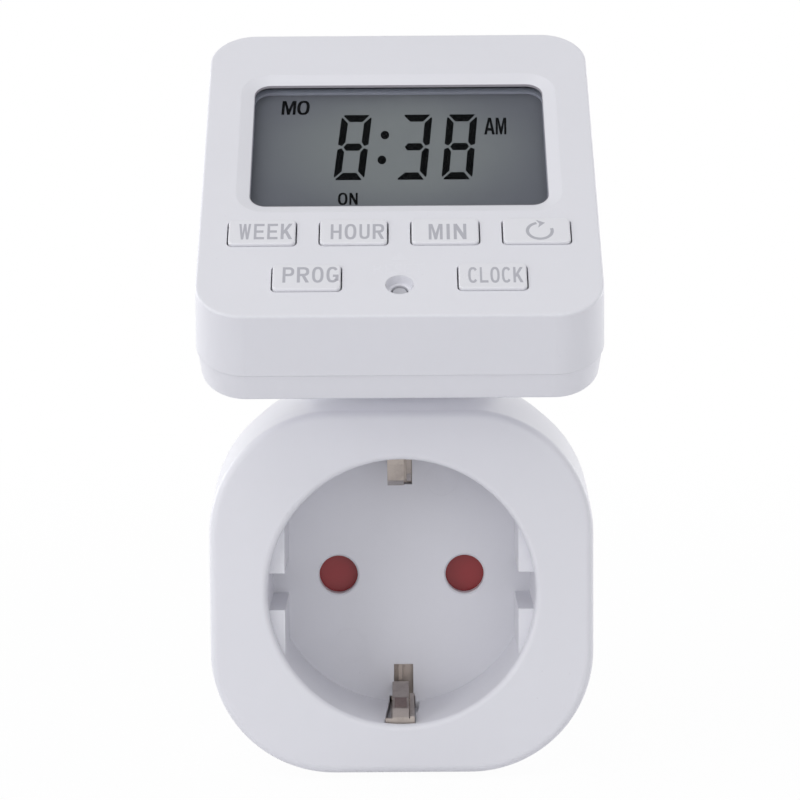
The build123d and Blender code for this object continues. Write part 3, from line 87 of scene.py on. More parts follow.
WELL_DEPTH = 17.5 * MM
FACE_OUT = reach("head_front_shell", OUT_OF_FACE)[1]
FACE_UP = middle("head_front_shell", UP_FACE)
CELL_OUT = reach("lcd_cell", OUT_OF_FACE)[1]
WINDOW_UP = middle("lcd_window", UP_FACE)
WELL_FLOOR_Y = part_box("socket_front_shell")[0].y + WELL_DEPTH


# ------------------------------------------------------------------------------------ settings
def length(name, description, millimetres):
    """Length property whose default is given in millimetres."""
    return bpy.props.FloatProperty(
        name=name, description=description, default=millimetres * MM, unit="LENGTH", precision=5
    )


def colour(name, description, red, green, blue):
    """Colour property whose default is given in display values, 0 to 255."""
    linear = [((value / 255 + 0.055) / 1.055) ** 2.4 for value in (red, green, blue)]
    return bpy.props.FloatVectorProperty(
        name=name, description=description, default=linear, subtype="COLOR", min=0, max=1
    )


def power(name, description, watts):
    """Power property of a lamp."""
    return bpy.props.FloatProperty(
        name=name, description=description, default=watts, min=0, unit="POWER"
    )


class TimerCamera(bpy.types.PropertyGroup):
    """Where the camera stands and how it is turned."""

    place: bpy.props.FloatVectorProperty(
        name="Place",
        description="Where the camera stands",
        default=(0.0001, -0.4928, 0.0709),
        subtype="TRANSLATION",
        unit="LENGTH",
        precision=5,
    )
    lens: bpy.props.FloatProperty(
        name="Lens", description="Focal length in millimetres", default=135.0, unit="CAMERA"
    )
    down: bpy.props.FloatProperty(
        name="Down",
        description="How far the camera looks down",
        default=math.radians(5.68),
        subtype="ANGLE",
    )
    left: bpy.props.FloatProperty(
        name="Left",
        description="How far the camera turns to its left",
        default=math.radians(0.022),
        subtype="ANGLE",
    )
    roll: bpy.props.FloatProperty(
        name="Roll",
        description="How far the camera rolls to its left",
        default=math.radians(-0.376),
        subtype="ANGLE",
    )


class TimerStage(bpy.types.PropertyGroup):
    """The floor, the backdrop and the studio light."""

    floor: colour("Floor", "Colour of the studio floor", 236, 236, 238)
    backdrop: colour("Backdrop", "Colour seen behind the timer", 255, 255, 255)
    lift: bpy.props.FloatProperty(
        name="Floor lift",
        description="How far the floor near the timer is washed out to the backdrop's colour",
        default=0.97,
        min=0.0,
        max=1.0,
        subtype="FACTOR",
    )
    ambient: bpy.props.FloatProperty(
        name="Ambient", description="Strength of the light from all round", default=0.5
    )
    key_power: power("Key light", "Power of the lamp above, in front", 3.0)
    fill_power: power("Fill light", "Power of the low lamp in front", 1.2)
    side_power: power("Side light", "Power of the lamp at the left, in front", 2.57)
    left_rim_power: power("Left rim light", "Power of the lamp behind, at the left", 2.2)
    right_rim_power: power("Right rim light", "Power of the lamp behind, at the right", 2.3)


class TimerDisplay(bpy.types.PropertyGroup):
    """Figures and words on the display, measured on the head's face from its centre."""

    digit_width: length("Digit width", "Width of a seven-segment figure", 4.42)
    digit_height: length("Digit height", "Height of a seven-segment figure", 15.24)
    digit_slant: length("Digit slant", "How far a figure's top leans to the right", 1.1)
    digit_low: length("Digit foot", "Height of the figures' lower edge above the centre", 0.25)
    colon_width: length("Colon dot width", "Width of a dot between the figures", 1.24)
    colon_height: length("Colon dot height", "Height of a dot between the figures", 1.97)
    ink_height: length("Segment thickness", "Thickness of a dark segment", 0.03)
    segment: colour("Segment", "Colour of a dark segment", 2, 3, 4)
    # The cell's centre and edge colours paint the shade of the window's frame: darker towards the edge.
    bright: colour("Cell centre", "Colour of the display's middle", 155, 153, 150)
    dim: colour("Cell edge", "Colour of the display's edge", 130, 127, 131)
    gasket: colour("Gasket", "Colour of the gasket round the window", 204, 200, 209)


class TimerLegends(bpy.types.PropertyGroup):
    """Printed legends on the keys."""

    cap_height: length("Letter height", "Height of the printed letters up the face", 3.35)
    print_height: length("Print thickness", "Thickness of the printed ink", 0.02)
    arrow_radius: length("Arrow radius", "Radius of the round arrow", 1.72)
    arrow_stroke: length("Arrow stroke", "Line width of the round arrow", 0.46)
    ink: colour("Ink", "Colour of the printed legends", 178, 178, 186)
    relief_height: length("Relief height", "Height of the raised reset mark", 0.02)
    # A little lighter than the housing: painted highlight on the raised mark, which is too thin to catch
    # light itself.
    relief: colour("Relief", "Colour of the worn reset mark", 229, 229, 235)


class TimerColours(bpy.types.PropertyGroup):
    """One colour for each finish of the timer's parts."""

    white_plastic: colour("Housing", "Satin plastic of the shells", 227, 227, 233)
    key_plastic: colour("Keys", "Plastic of the keys", 228, 228, 233)
    reset_plastic: colour("Reset", "Plastic of the reset button", 190, 190, 196)
    shutter_red: colour("Shutter", "Red plastic of the safety shutter", 150, 38, 44)
    carrier_plastic: colour("Carrier", "Plastic of the shutter's carrier", 205, 204, 198)
    window_clear: colour("Window", "Tint of the clear window", 240, 243, 245)
    reflector: colour("Reflector", "Foil behind the display cell", 176, 180, 178)
    frame_plastic: colour("Display frame", "Plastic round the display cell", 62, 62, 66)
    elastomer: colour("Connector rubber", "Layered rubber under the display", 58, 58, 62)
    circuit_board: colour("Board", "Lacquer on the circuit boards", 24, 92, 50)
    epoxy: colour("Epoxy", "Moulded black parts", 34, 34, 37)
    nickel_silver: colour("Clip metal", "Plated spring strip", 174, 165, 160)
    # Painted shade: a darker metal colour for the shaded patch on the lower clip's ramp, not a stamped
    # finish.
    clip_panel: colour("Clip panel", "Darkened stamped panel of the lower clip", 134, 120, 118)
    pin_nickel: colour("Pin metal", "Plated plug pins", 206, 203, 198)
    brass: colour("Brass", "Plain contact strip", 205, 172, 104)
    zinc_screw: colour("Screw metal", "Plated screws", 196, 198, 204)
    spring_steel: colour("Spring metal", "Drawn spring wire", 170, 170, 174)
    tinned_can: colour("Can metal", "Plain can of the crystal", 205, 206, 208)
    battery_steel: colour("Cell metal", "Casing of the backup cell", 200, 201, 204)
    connector_plastic: colour("Connector", "Plastic of the cable's connectors", 226, 222, 206)
    ribbon_pvc: colour("Ribbon", "Sheath of the flat cable", 168, 172, 178)
    relay_plastic: colour("Relay case", "Plastic of the relay", 38, 78, 140)
    copper_winding: colour("Winding", "Lacquered copper wire", 178, 92, 50)
    relay_iron: colour("Relay iron", "Plated iron of the relay", 168, 168, 170)
    film_yellow: colour("Film capacitor", "Case of the film capacitor", 216, 176, 44)
    capacitor_sleeve: colour("Sleeve", "Sleeve of the round capacitor", 40, 44, 70)
    varistor_blue: colour("Varistor", "Dipped lacquer of the varistor", 48, 92, 160)
    resistor_blue: colour("Resistors", "Lacquer of the resistors", 140, 176, 192)


# ------------------------------------------------------------------------------- shader helpers
class Value:
    """An output of a node. Arithmetic on it adds Math nodes."""

    def __init__(self, shader, output):
        self.shader = shader
        self.output = output

    def math(self, operation, *operands):
        return self.shader.node("ShaderNodeMath", {"operation": operation}, dict(enumerate(operands)))

    def sine(self):
        return self.math("SINE", self)

    def fraction(self):
        return self.math("FRACT", self)

    def __add__(self, other):
        return self.math("ADD", self, other)

    __radd__ = __add__

    def __sub__(self, other):
        return self.math("SUBTRACT", self, other)

    def __rsub__(self, other):
        return self.math("SUBTRACT", other, self)

    def __mul__(self, other):
        return self.math("MULTIPLY", self, other)

    __rmul__ = __mul__

    def __truediv__(self, other):
        return self.math("DIVIDE", self, other)

    def __pow__(self, other):
        return self.math("POWER", self, other)


class Shader:
    """The nodes of a material or of the world."""

    def __init__(self, owner):
        owner.use_nodes = True
        self.tree = owner.node_tree
        self.tree.nodes.clear()

    def node(self, kind, settings, values, output=0):
        """Adds one node: its settings first, then the values or links of its sockets.
        Returns one of its outputs, by number or name."""
        made = self.tree.nodes.new(kind)
        for name, setting in settings.items():
            setattr(made, name, setting)
        for key, value in values.items():
            socket = made.inputs[key]
            if isinstance(value, Value):
                self.tree.links.new(value.output, socket)
            elif socket.type == "RGBA" and len(value) == 3:
                socket.default_value = (*value, 1.0)
            else:
                socket.default_value = value
        return Value(self, made.outputs[output])

    def place(self):
        """Place on the object, in metres from its origin."""
        return self.node("ShaderNodeTexCoord", {}, {}, "Object")

    def laid(self, centre, turn, size):
        """Places measured from a centre, along turned axes, in parts of a size."""
        values = {"Vector": self.place(), "Location": centre, "Rotation": turn, "Scale": size}
        return self.node("ShaderNodeMapping", {"vector_type": "TEXTURE"}, values)

    def noise(self, size, detail=2.0, roughness=0.5, stretch=(1, 1, 1)):
        """Noise from 0 to 1 whose marks have a size in metres, longer along a stretched axis."""
        scale = [1 / part for part in stretch]
        place = self.node("ShaderNodeMapping", {}, {"Vector": self.place(), "Scale": scale})
        values = {"Vector": place, "Scale": 1 / size, "Detail": detail, "Roughness": roughness}
        return self.node("ShaderNodeTexNoise", {}, values)

    def spots(self, size, spread=1.0):
        """Distance to the nearest of many points, as a share of their spacing."""
        values = {"Vector": self.place(), "Scale": 1 / size, "Randomness": spread}
        return self.node("ShaderNodeTexVoronoi", {"feature": "F1"}, values)

    def band(self, value, low, high):
        """0 below one limit and 1 above the other, with a soft step between."""
        values = {"Value": value, "From Min": low, "From Max": high}
        return self.node("ShaderNodeMapRange", {"interpolation_type": "SMOOTHSTEP"}, values)

    def axis(self, name, place=None):
        """One part of a place: X, Y or Z."""
        return self.node("ShaderNodeSeparateXYZ", {}, {0: place or self.place()}, name)

    def mix(self, factor, low, high):
        """Colour between two colours."""
        return self.node("ShaderNodeMix", {"data_type": "RGBA"}, {0: factor, 6: low, 7: high}, 2)

    def soft_edge(self, radius):
        """Normals that round the moulded edges a little."""
        return self.node("ShaderNodeBevel", {"samples": 4}, {"Radius": radius})

    def bump(self, height, distance, normal=None):
        """Normals of a height from 0 to 1 that stands for a distance in metres."""
        values = {"Height": height, "Distance": distance}
        if normal:
            values["Normal"] = normal
        return self.node("ShaderNodeBump", {}, values)

    def surface(self, values):
        return self.node("ShaderNodeBsdfPrincipled", {}, values)

    def finish(self, shader, kind="ShaderNodeOutputMaterial"):
        self.tree.links.new(shader.output, self.tree.nodes.new(kind).inputs["Surface"])


def shaded(tint, factor):
    """A colour made darker or lighter by a factor."""
    return [min(1.0, part * factor) for part in tint]


# ------------------------------------------------------------------------------------ finishes
# Plain colours in linear values.
TARNISH = (0.16, 0.1, 0.06)
SOLDER = (0.62, 0.63, 0.64)
# Near black for the drill holes: painted shade inside them.
PAINTED_HOLE_SHADE = (0.02, 0.02, 0.02)
MARKED_WIRE = (0.45, 0.04, 0.03)
# Radians in a metre for the weave and the wire, pairs of layers in a metre for the rubber, and
# ribs across the cable.
GLASS_WEAVE = 9000
RUBBER_LAYERS = 2500
WIRE_TURNS = 34000
CABLE_RIBS = 12


def moulded(shader, tint, roughness=0.42, grain=0.3, depth=4.0, edge=0.15, mottle=0.04, shine=0.5):
    """Moulded plastic with a fine grain, flow marks and places polished by handling.
    The grain and the edge are in millimetres, its depth in micrometres."""
    broad = shader.noise(0.016, 3.0)
    flow = shader.noise(0.005, 4.0, 0.6, (1.0, 1.0, 3.0))
    fine = shader.noise(grain * MM, 2.0, 0.6)
    rubbed = shader.band(shader.noise(0.011, 5.0, 0.62), 0.52, 0.7)
    dust = shader.band(shader.spots(0.0021), 0.07, 0.03) * shader.band(broad, 0.5, 0.6)
    tone = broad * 0.5 + flow * 0.35 + fine * 0.15
    shade = shader.mix(tone, shaded(tint, 1 - mottle), shaded(tint, 1 + mottle / 3))
    shade = shader.mix(dust * 0.25, shade, shaded(tint, 0.72))
    rough = roughness + (fine - 0.5) * 0.1 + (flow - 0.5) * 0.08 - rubbed * 0.06 + dust * 0.2
    normal = shader.bump(fine + flow * 0.5, depth * 1e-6, shader.soft_edge(edge * MM))
    values = {"Base Color": shade, "Roughness": rough, "Normal": normal}
    return shader.surface({**values, "Specular IOR Level": shine})


def strip_metal(shader, tint, roughness=0.28, rolled=(1, 12, 1), tarnish=0.25, depth=1.5):
    """Plated or plain strip metal: rolling lines, dull patches and a little tarnish.
    Rolled says how far the lines are drawn out along each axis. Their depth is in micrometres."""
    lines = shader.noise(0.00012, 3.0, 0.7, rolled)
    patch = shader.noise(0.0022, 5.0, 0.65)
    spot = shader.band(shader.noise(0.0006, 4.0, 0.7), 0.6, 0.72)
    dull = shader.band(patch, 0.42, 0.7)
    shade = shader.mix(dull * tarnish + lines * 0.15, tint, shaded(tint, 0.55))
    shade = shader.mix(spot * tarnish, shade, TARNISH)
    rough = roughness + lines * 0.12 + dull * 0.14 + spot * 0.15
    normal = shader.bump(lines, depth * 1e-6, shader.soft_edge(0.08 * MM))
    values = {"Base Color": shade, "Metallic": 1.0 - spot * 0.3, "Roughness": rough}
    return shader.surface({**values, "Normal": normal})


def board(shader, tint):
    """Lacquered board with tracks under the lacquer, bare pads and glass weave at the edge, and drill holes
    painted near black as painted shade.
    """
    weave = (shader.axis("X") * GLASS_WEAVE).sine() * (shader.axis("Z") * GLASS_WEAVE).sine()
    tracks = shader.spots(0.0034, 0.55)
    track = shader.band(tracks, 0.30, 0.33) - shader.band(tracks, 0.44, 0.47)
    pads = shader.spots(0.0026, 0.3)
    pad = shader.band(pads, 0.17, 0.14)
    # Painted shade of the drill holes in the pads.
    hole_shade = shader.band(pads, 0.09, 0.07)
    shade = shader.mix(track * 0.45, tint, shaded(tint, 1.9))
    shade = shader.mix(weave * 0.06, shade, shaded(tint, 1.6))
    shade = shader.mix(pad, shade, SOLDER)
    shade = shader.mix(hole_shade, shade, PAINTED_HOLE_SHADE)
    rough = 0.3 + shader.noise(0.002, 4.0) * 0.15 + pad * 0.1
    normal = shader.bump(track * 0.6 + pad + weave * 0.1, 25e-6)
    values = {"Base Color": shade, "Metallic": pad - hole_shade, "Roughness": rough}
    return shader.surface({**values, "Normal": normal})


def layered_rubber(shader, tint):
    """Rubber in thin layers, every other one carrying current."""
    layer = shader.band((shader.axis("X") * RUBBER_LAYERS).fraction(), 0.45, 0.55)
    speck = shader.noise(0.0004, 3.0)
    shade = shader.mix(layer, tint, shaded(tint, 3.2))
    normal = shader.bump(layer + speck * 0.4, 12e-6)
    return shader.surface({"Base Color": shade, "Roughness": 0.62 + speck * 0.2, "Normal": normal})


def wound_wire(shader, tint):
    """Turns of lacquered wire, side by side up the coil, with painted shade between the turns."""
    turn = (shader.axis("Z") * WIRE_TURNS).sine()
    worn = shader.noise(0.0012, 4.0)
    # The stripes along the turns are painted shade and light of the round turns; the worn part is random
    # tone.
    shade = shader.mix(turn * 0.35 + worn * 0.4, tint, shaded(tint, 0.45))
    normal = shader.bump(turn, 30e-6)
    values = {"Base Color": shade, "Metallic": 0.7, "Roughness": 0.3 + worn * 0.2}
    return shader.surface({**values, "Normal": normal})


def ribbed_sheath(shader, tint):
    """Flat cable: a rib over each wire, with the first one marked."""
    low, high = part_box("ribbon_cable")
    across = (shader.axis("X") - low.x) / (high.x - low.x)
    rib = (across * CABLE_RIBS * math.pi).sine()
    mark = shader.band(across, 0.17, 0.15)
    scuff = shader.noise(0.001, 4.0)
    shade = shader.mix(scuff * 0.3, tint, shaded(tint, 0.8))
    shade = shader.mix(mark, shade, MARKED_WIRE)
    normal = shader.bump(rib * rib, 120e-6)
    return shader.surface({"Base Color": shade, "Roughness": 0.4 + scuff * 0.2, "Normal": normal})


def display_cell(shader, bright, dim):
    """Display glass: lighter in the middle, darker towards its frame, as painted shade of the window's frame
    on the cell.
    """
    centre_rise = 0.8 * MM
    darker_across, darker_up = 3.6, 3.0
    low, high = reach("lcd_cell", ACROSS)
    width = high - low
    low, high = reach("lcd_cell", UP_FACE)
    height = high - low
    centre = Vector((middle("lcd_cell", ACROSS), WINDOW_UP + centre_rise, CELL_OUT))
    place = shader.laid(HEAD_TURN @ centre, (HEAD_LEAN, 0, 0), (width, height, 1))
    across, up = shader.axis("X", place), shader.axis("Y", place)
    far = (across * across * darker_across + up * up * darker_up) ** 0.5
    cloud = shader.noise(0.009, 3.0)
    grain = shader.noise(0.00022, 2.0)
    # Painted shade: the cell darkens towards the window's frame.
    edge = shader.band(far + (cloud - 0.5) * 0.14, 0.3, 1.0)
    shade = shader.mix(edge + (grain - 0.5) * 0.05, bright, dim)
    rough = 0.34 + grain * 0.12 + cloud * 0.06
    values = {"Base Color": shade, "Roughness": rough, "Specular IOR Level": 0.1}
    return shader.surface({**values, "Normal": shader.bump(grain, 1.5e-6)})


def clear_window(shader, tint):
    """Thin clear plastic that shines at its surface, with faint wiping marks."""
    wiped = shader.noise(0.0006, 4.0, 0.6, (9.0, 1.0, 1.0))
    haze = shader.band(shader.noise(0.008, 4.0), 0.5, 0.75)
    fresnel = shader.node("ShaderNodeFresnel", {}, {"IOR": 1.12})
    clear = shader.node("ShaderNodeBsdfTransparent", {}, {"Color": tint})
    normal = shader.bump(wiped, 0.4e-6)
    rough = 0.05 + wiped * 0.03 + haze * 0.05
    gloss = shader.surface({"Base Color": tint, "Roughness": rough, "Normal": normal})
    factor = fresnel * 0.3 + haze * 0.002
    return shader.node("ShaderNodeMixShader", {}, {0: factor, 1: clear, 2: gloss})


def printed(shader, tint, shine=0.5):
    """Thin printed ink with slightly uneven cover."""
    cover = shader.noise(0.0003, 3.0)
    shade = shader.mix(cover, shaded(tint, 0.94), shaded(tint, 1.04))
    normal = shader.bump(cover, 1.5e-6)
    values = {"Base Color": shade, "Roughness": 0.42 + cover * 0.16, "Normal": normal}
    return shader.surface({**values, "Specular IOR Level": shine})


# Roughness, size of the grain, its depth, edge and mottle of each moulded finish.
PLASTICS = {
    "white_plastic": (),
    "key_plastic": (0.34, 0.22, 2.0, 0.12),
    "reset_plastic": (0.36, 0.2, 3.0, 0.1, 0.08),
    "shutter_red": (0.34, 0.4, 8.0, 0.1, 0.14),
    "carrier_plastic": (0.5, 0.4, 8.0, 0.1, 0.08),
    "frame_plastic": (0.5, 0.3, 6.0, 0.1, 0.12),
    "epoxy": (0.48, 0.18, 9.0, 0.08, 0.2),
    "connector_plastic": (0.5, 0.3, 7.0, 0.1, 0.1),
    "relay_plastic": (0.35, 0.3, 4.0, 0.1, 0.12),
    "film_yellow": (0.4, 0.3, 6.0, 0.12, 0.1),
    "capacitor_sleeve": (0.26, 0.6, 3.0, 0.1, 0.2),
    "varistor_blue": (0.44, 0.5, 14.0, 0.1, 0.16),
    "resistor_blue": (0.36, 0.5, 10.0, 0.1, 0.14),
}
# Roughness, stretch of the rolling lines, tarnish and depth of the lines of each metal finish.
METALS = {
    "nickel_silver": (),
    "reflector": (0.42, (14, 1, 1), 0.06),
    "pin_nickel": (0.2, (1, 1, 1), 0.1, 0.8),
    "brass": (0.26, (1, 10, 1), 0.3),
    "zinc_screw": (0.32, (1, 1, 1), 0.2, 3.0),
    "spring_steel": (0.3, (1, 1, 6), 0.2),
    "tinned_can": (0.24, (1, 8, 8), 0.1),
    "battery_steel": (0.22, (6, 1, 1), 0.15),
    "relay_iron": (0.36, (1, 1, 8), 0.3, 3.0),
}
OTHER_FINISHES = {
    "window_clear": clear_window,
    "elastomer": layered_rubber,
    "circuit_board": board,
    "ribbon_pvc": ribbed_sheath,
    "copper_winding": wound_wire,
}
FINISHES = {
    **{name: (moulded, *values) for name, values in PLASTICS.items()},
    **{name: (strip_metal, *values) for name, values in METALS.items()},
    **{name: (finish,) for name, finish in OTHER_FINISHES.items()},
}


def new_material(name, tint, finish, *values, **named):
    """Material of a name and a colour, whose nodes a finish makes from further values."""
    material = bpy.data.materials.new(name)
    material.diffuse_color = (*tint, 1.0)
    shader = Shader(material)
    shader.finish(finish(shader, list(tint), *values, **named))
    return material


# -------------------------------------------------------------------------------- shape helpers
def add_piece(name, shape, material, body):
    """Object of a finished bmesh, which rides on a body."""
    bmesh.ops.recalc_face_normals(shape, faces=shape.faces)
    mesh = bpy.data.meshes.new(name)
    shape.to_mesh(mesh)
    shape.free()
    piece = bpy.data.objects.new(name, mesh)
    bpy.context.scene.collection.objects.link(piece)
    mesh.materials.append(material)
    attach(piece, body)
    return piece


def raise_faces(shape, faces, height):
    """Makes closed plates of a height from flat faces."""
    raised = bmesh.ops.extrude_face_region(shape, geom=faces, use_keep_orig=True)
    tops = [part for part in raised["geom"] if isinstance(part, bmesh.types.BMVert)]
    bmesh.ops.translate(shape, vec=(0, 0, height), verts=tops)


def round_band(shape, centre, radius, line, start, sweep, steps):
    """Flat band of a line width round a centre, from a start angle through a sweep."""
    ends = [
        shape.verts.new((centre[0] + radius + side * line / 2, centre[1], 0)) for side in (-1, 1)
    ]
    edge = shape.edges.new(ends)
    middle_of_band = (*centre, 0)
    turn = Matrix.Rotation(start, 3, "Z")
    bmesh.ops.rotate(shape, cent=middle_of_band, matrix=turn, verts=ends)
    bmesh.ops.spin(
        shape,
        geom=[*ends, edge],
        axis=(0, 0, 1),
        cent=middle_of_band,
        angle=sweep,
        steps=steps,
        use_merge=abs(sweep) == 2 * math.pi,
    )


def lay_on_face(shape, across, up, out):
    """Moves a flat shape to a place measured along the head's axes."""
    place = HEAD_TURN @ Vector((across, up, out))
    turn = Matrix.Translation(place) @ HEAD_TURN.to_4x4()
    bmesh.ops.transform(shape, matrix=turn, verts=shape.verts)


def lettering(text, width, height, thickness):
    """Bmesh of a word, centred, fitted to a width and height and made a closed plate."""
    font = bpy.data.curves.new(text, "FONT")
    font.body = text
    font.extrude = 0.5
    font.resolution_u = 6
    drawn = bpy.data.objects.new(text, font)
    bpy.context.scene.collection.objects.link(drawn)
    bpy.context.view_layer.update()
    mesh = bpy.data.meshes.new_from_object(drawn)
    shape = bmesh.new()
    shape.from_mesh(mesh)
    bpy.data.objects.remove(drawn)
    bpy.data.meshes.remove(mesh)
    bmesh.ops.remove_doubles(shape, verts=shape.verts, dist=1e-5)
    places = [[vertex.co[axis] for vertex in shape.verts] for axis in range(3)]
    low = Vector([min(row) for row in places])
    high = Vector([max(row) for row in places])
    bmesh.ops.translate(shape, vec=-(low + high) / 2, verts=shape.verts)
    size = high - low
    fit = (width / size.x, height / size.y, thickness / size.z)
    bmesh.ops.scale(shape, vec=fit, verts=shape.verts)
    return shape


# Bold capitals as flat outlines in a box of one by one, with upright stems and level bars.
STEM = 0.25
BAR = 0.145
MID = 0.5
BOWL_LOW = 0.42
BOWL_TURN = 0.52
OPEN_END = math.radians(38)
ROUND = 2.5
ROUND_STEPS = 12


def curve(centre, half, start, end):
    """Points along a squarish oval between two angles, in radians."""
    points = []
    for step in range(ROUND_STEPS + 1):
        angle = start + (end - start) * step / ROUND_STEPS
        along, rise = math.cos(angle), math.sin(angle)
        x = math.copysign(abs(along) ** (2 / ROUND), along) * half[0]
        y = math.copysign(abs(rise) ** (2 / ROUND), rise) * half[1]
        points.append((centre[0] + x, centre[1] + y))
    return points


def bent_band(centre, half, start, end):
    """Outline of a band of the stem's and the bar's width that follows an oval."""
    inner = (half[0] - STEM, half[1] - BAR)
    return curve(centre, half, start, end) + curve(centre, inner, end, start)


def bowl():
    """Outline of the round part of P and R, which closes against the stem."""
    centre = (BOWL_TURN, (1 + BOWL_LOW) / 2)
    half = (1 - BOWL_TURN, (1 - BOWL_LOW) / 2)
    inner = (half[0] - STEM, half[1] - BAR)
    outside = curve(centre, half, math.pi / 2, -math.pi / 2)
    inside = curve(centre, inner, -math.pi / 2, math.pi / 2)
    low = [(STEM, BOWL_LOW), (STEM, BOWL_LOW + BAR)]
    return [(STEM, 1), *outside, *low, *inside, (STEM, 1 - BAR)]


def cup():
    """Outline of the letter U."""
    centre = (0.5, 0.34)
    outside = curve(centre, (0.5, centre[1]), math.pi, 2 * math.pi)
    inner = (0.5 - STEM, centre[1] - BAR)
    inside = curve(centre, inner, 2 * math.pi, math.pi)
    return [(0, 1), *outside, (1, 1), (1 - STEM, 1), *inside, (STEM, 1)]


UPRIGHT = [(0, 0), (0, 1), (STEM, 1), (STEM, 0)]
CENTRE = (0.5, 0.5)
HALF = (0.5, 0.52)
CAPITALS = {
    "A": [
        [(0, 0), (0.36, 1), (0.5, 1), (0.5, 0.78), (0.25, 0)],
        [(1, 0), (0.75, 0), (0.5, 0.78), (0.5, 1), (0.64, 1)],
        [(0.32, 0.22), (0.37, 0.38), (0.63, 0.38), (0.68, 0.22)],
    ],
    "C": [bent_band(CENTRE, HALF, OPEN_END, 2 * math.pi - OPEN_END)],
    "E": [
        [
            (0, 0), (0, 1), (1, 1), (1, 1 - BAR), (STEM, 1 - BAR), (STEM, MID + BAR / 2),
            (0.92, MID + BAR / 2), (0.92, MID - BAR / 2), (STEM, MID - BAR / 2), (STEM, BAR),
            (1, BAR), (1, 0),
        ]
    ],
    "G": [
        bent_band(CENTRE, HALF, OPEN_END, 2 * math.pi - OPEN_END),
        [(0.54, MID), (1, MID), (1, 0.1), (1 - STEM, 0.12), (1 - STEM, MID - BAR), (0.54, MID - BAR)],
    ],
    "H": [
        UPRIGHT,
        [(1 - x, y) for x, y in UPRIGHT],
        [
            (STEM, MID - BAR / 2), (STEM, MID + BAR / 2), (1 - STEM, MID + BAR / 2),
            (1 - STEM, MID - BAR / 2),
        ],
    ],
    "I": [[(0, 0), (0, 1), (1, 1), (1, 0)]],
    "K": [
        [
            (0, 0), (0, 1), (STEM, 1), (STEM, 0.56), (0.68, 1), (0.99, 1), (0.54, 0.57), (1, 0),
            (0.69, 0), (0.36, 0.42), (STEM, 0.32), (STEM, 0),
        ]
    ],
    "L": [[(0, 0), (0, 1), (STEM, 1), (STEM, BAR), (1, BAR), (1, 0)]],
    "M": [
        [
            (0, 0), (0, 1), (0.27, 1), (0.5, 0.4), (0.73, 1), (1, 1), (1, 0),
            (0.8, 0), (0.8, 0.74), (0.59, 0), (0.41, 0), (0.2, 0.74), (0.2, 0),
        ]
    ],
    "N": [
        [
            (0, 0), (0, 1), (0.27, 1), (0.76, 0.38), (0.76, 1), (1, 1), (1, 0),
            (0.73, 0), (0.24, 0.62), (0.24, 0),
        ]
    ],
    "O": [
        bent_band(CENTRE, HALF, math.pi / 2, 3 * math.pi / 2),
        bent_band(CENTRE, HALF, -math.pi / 2, math.pi / 2),
    ],
    "P": [UPRIGHT, bowl()],
    "R": [UPRIGHT, bowl(), [(0.4, BOWL_LOW), (0.68, BOWL_LOW), (1, 0), (0.71, 0)]],
    "U": [cup()],
    "W": [
        [
            (0, 1), (0.19, 0), (0.38, 0), (0.5, 0.6), (0.62, 0), (0.81, 0), (1, 1),
            (0.81, 1), (0.7, 0.38), (0.59, 1), (0.41, 1), (0.3, 0.38), (0.19, 1),
        ]
    ],
}


def capitals(text, widths, gap, slant):
    """Bmesh of flat bold capitals side by side, one high, leaning to the right."""
    shape = bmesh.new()
    start = 0.0
    for letter, width in zip(text, widths):
        known = set(shape.verts)
        for outline in CAPITALS[letter]:
            shape.faces.new([shape.verts.new((x, y, 0)) for x, y in outline])
        for vertex in set(shape.verts) - known:
            vertex.co.x = start + vertex.co.x * width + vertex.co.y * slant
        start += width + gap
    return shape


def fit_to(shape, across, up):
    """Scales and moves a flat shape into limits across and up, in metres."""
    for axis, (low, high) in enumerate((across, up)):
        places = [vertex.co[axis] for vertex in shape.verts]
        scale = (high - low) / (max(places) - min(places))
        for vertex in shape.verts:
            vertex.co[axis] = low + (vertex.co[axis] - min(places)) * scale


# ------------------------------------------------------------------------------- display figures
# A figure is drawn on a grid 30 wide and 65 high.
FIGURE_GRID = (30.0, 65.0)
FIGURE_STROKE = 7.0
FIGURE_GAP = 1.6
FIGURES = {"8": "abcdefg", "3": "abcdg"}


def segment_outlines():
    """Outline of each of the seven segments, on the figure's grid."""
    wide, high = FIGURE_GRID
    centre = high / 2
    stroke, gap = FIGURE_STROKE, FIGURE_GAP
    top = [
        (gap + 1, high),
        (wide - gap - 1, high),
        (wide - gap - 1.6, high - 1),
        (wide - stroke - gap, high - stroke),
        (stroke + gap, high - stroke),
        (gap + 0.4, high - 1),
    ]
    upper_left = [
        (0, high - gap - 2.2),
        (0, centre + 2.6),
        (stroke / 2 + 0.5, centre + 1.2),
        (stroke, centre + stroke / 2 + gap),
        (stroke, high - stroke - gap),
        (0.9, high - gap - 1.0),
    ]
    tip = stroke / 2 + gap + 0.6
    shoulder = stroke + gap
    bar = [
        (tip, centre),
        (shoulder, centre + stroke / 2),
        (wide - shoulder, centre + stroke / 2),
        (wide - tip, centre),
        (wide - shoulder, centre - stroke / 2),
        (shoulder, centre - stroke / 2),
    ]
    upper_right = [(wide - x, y) for x, y in upper_left]
    lower_left = [(x, high - y) for x, y in upper_left]
    lower_right = [(x, high - y) for x, y in upper_right]
    bottom = [(x, high - y) for x, y in top]
    names = "afbgecd"
    drawn = (top, upper_left, upper_right, bar, lower_left, lower_right, bottom)
    return dict(zip(names, drawn))


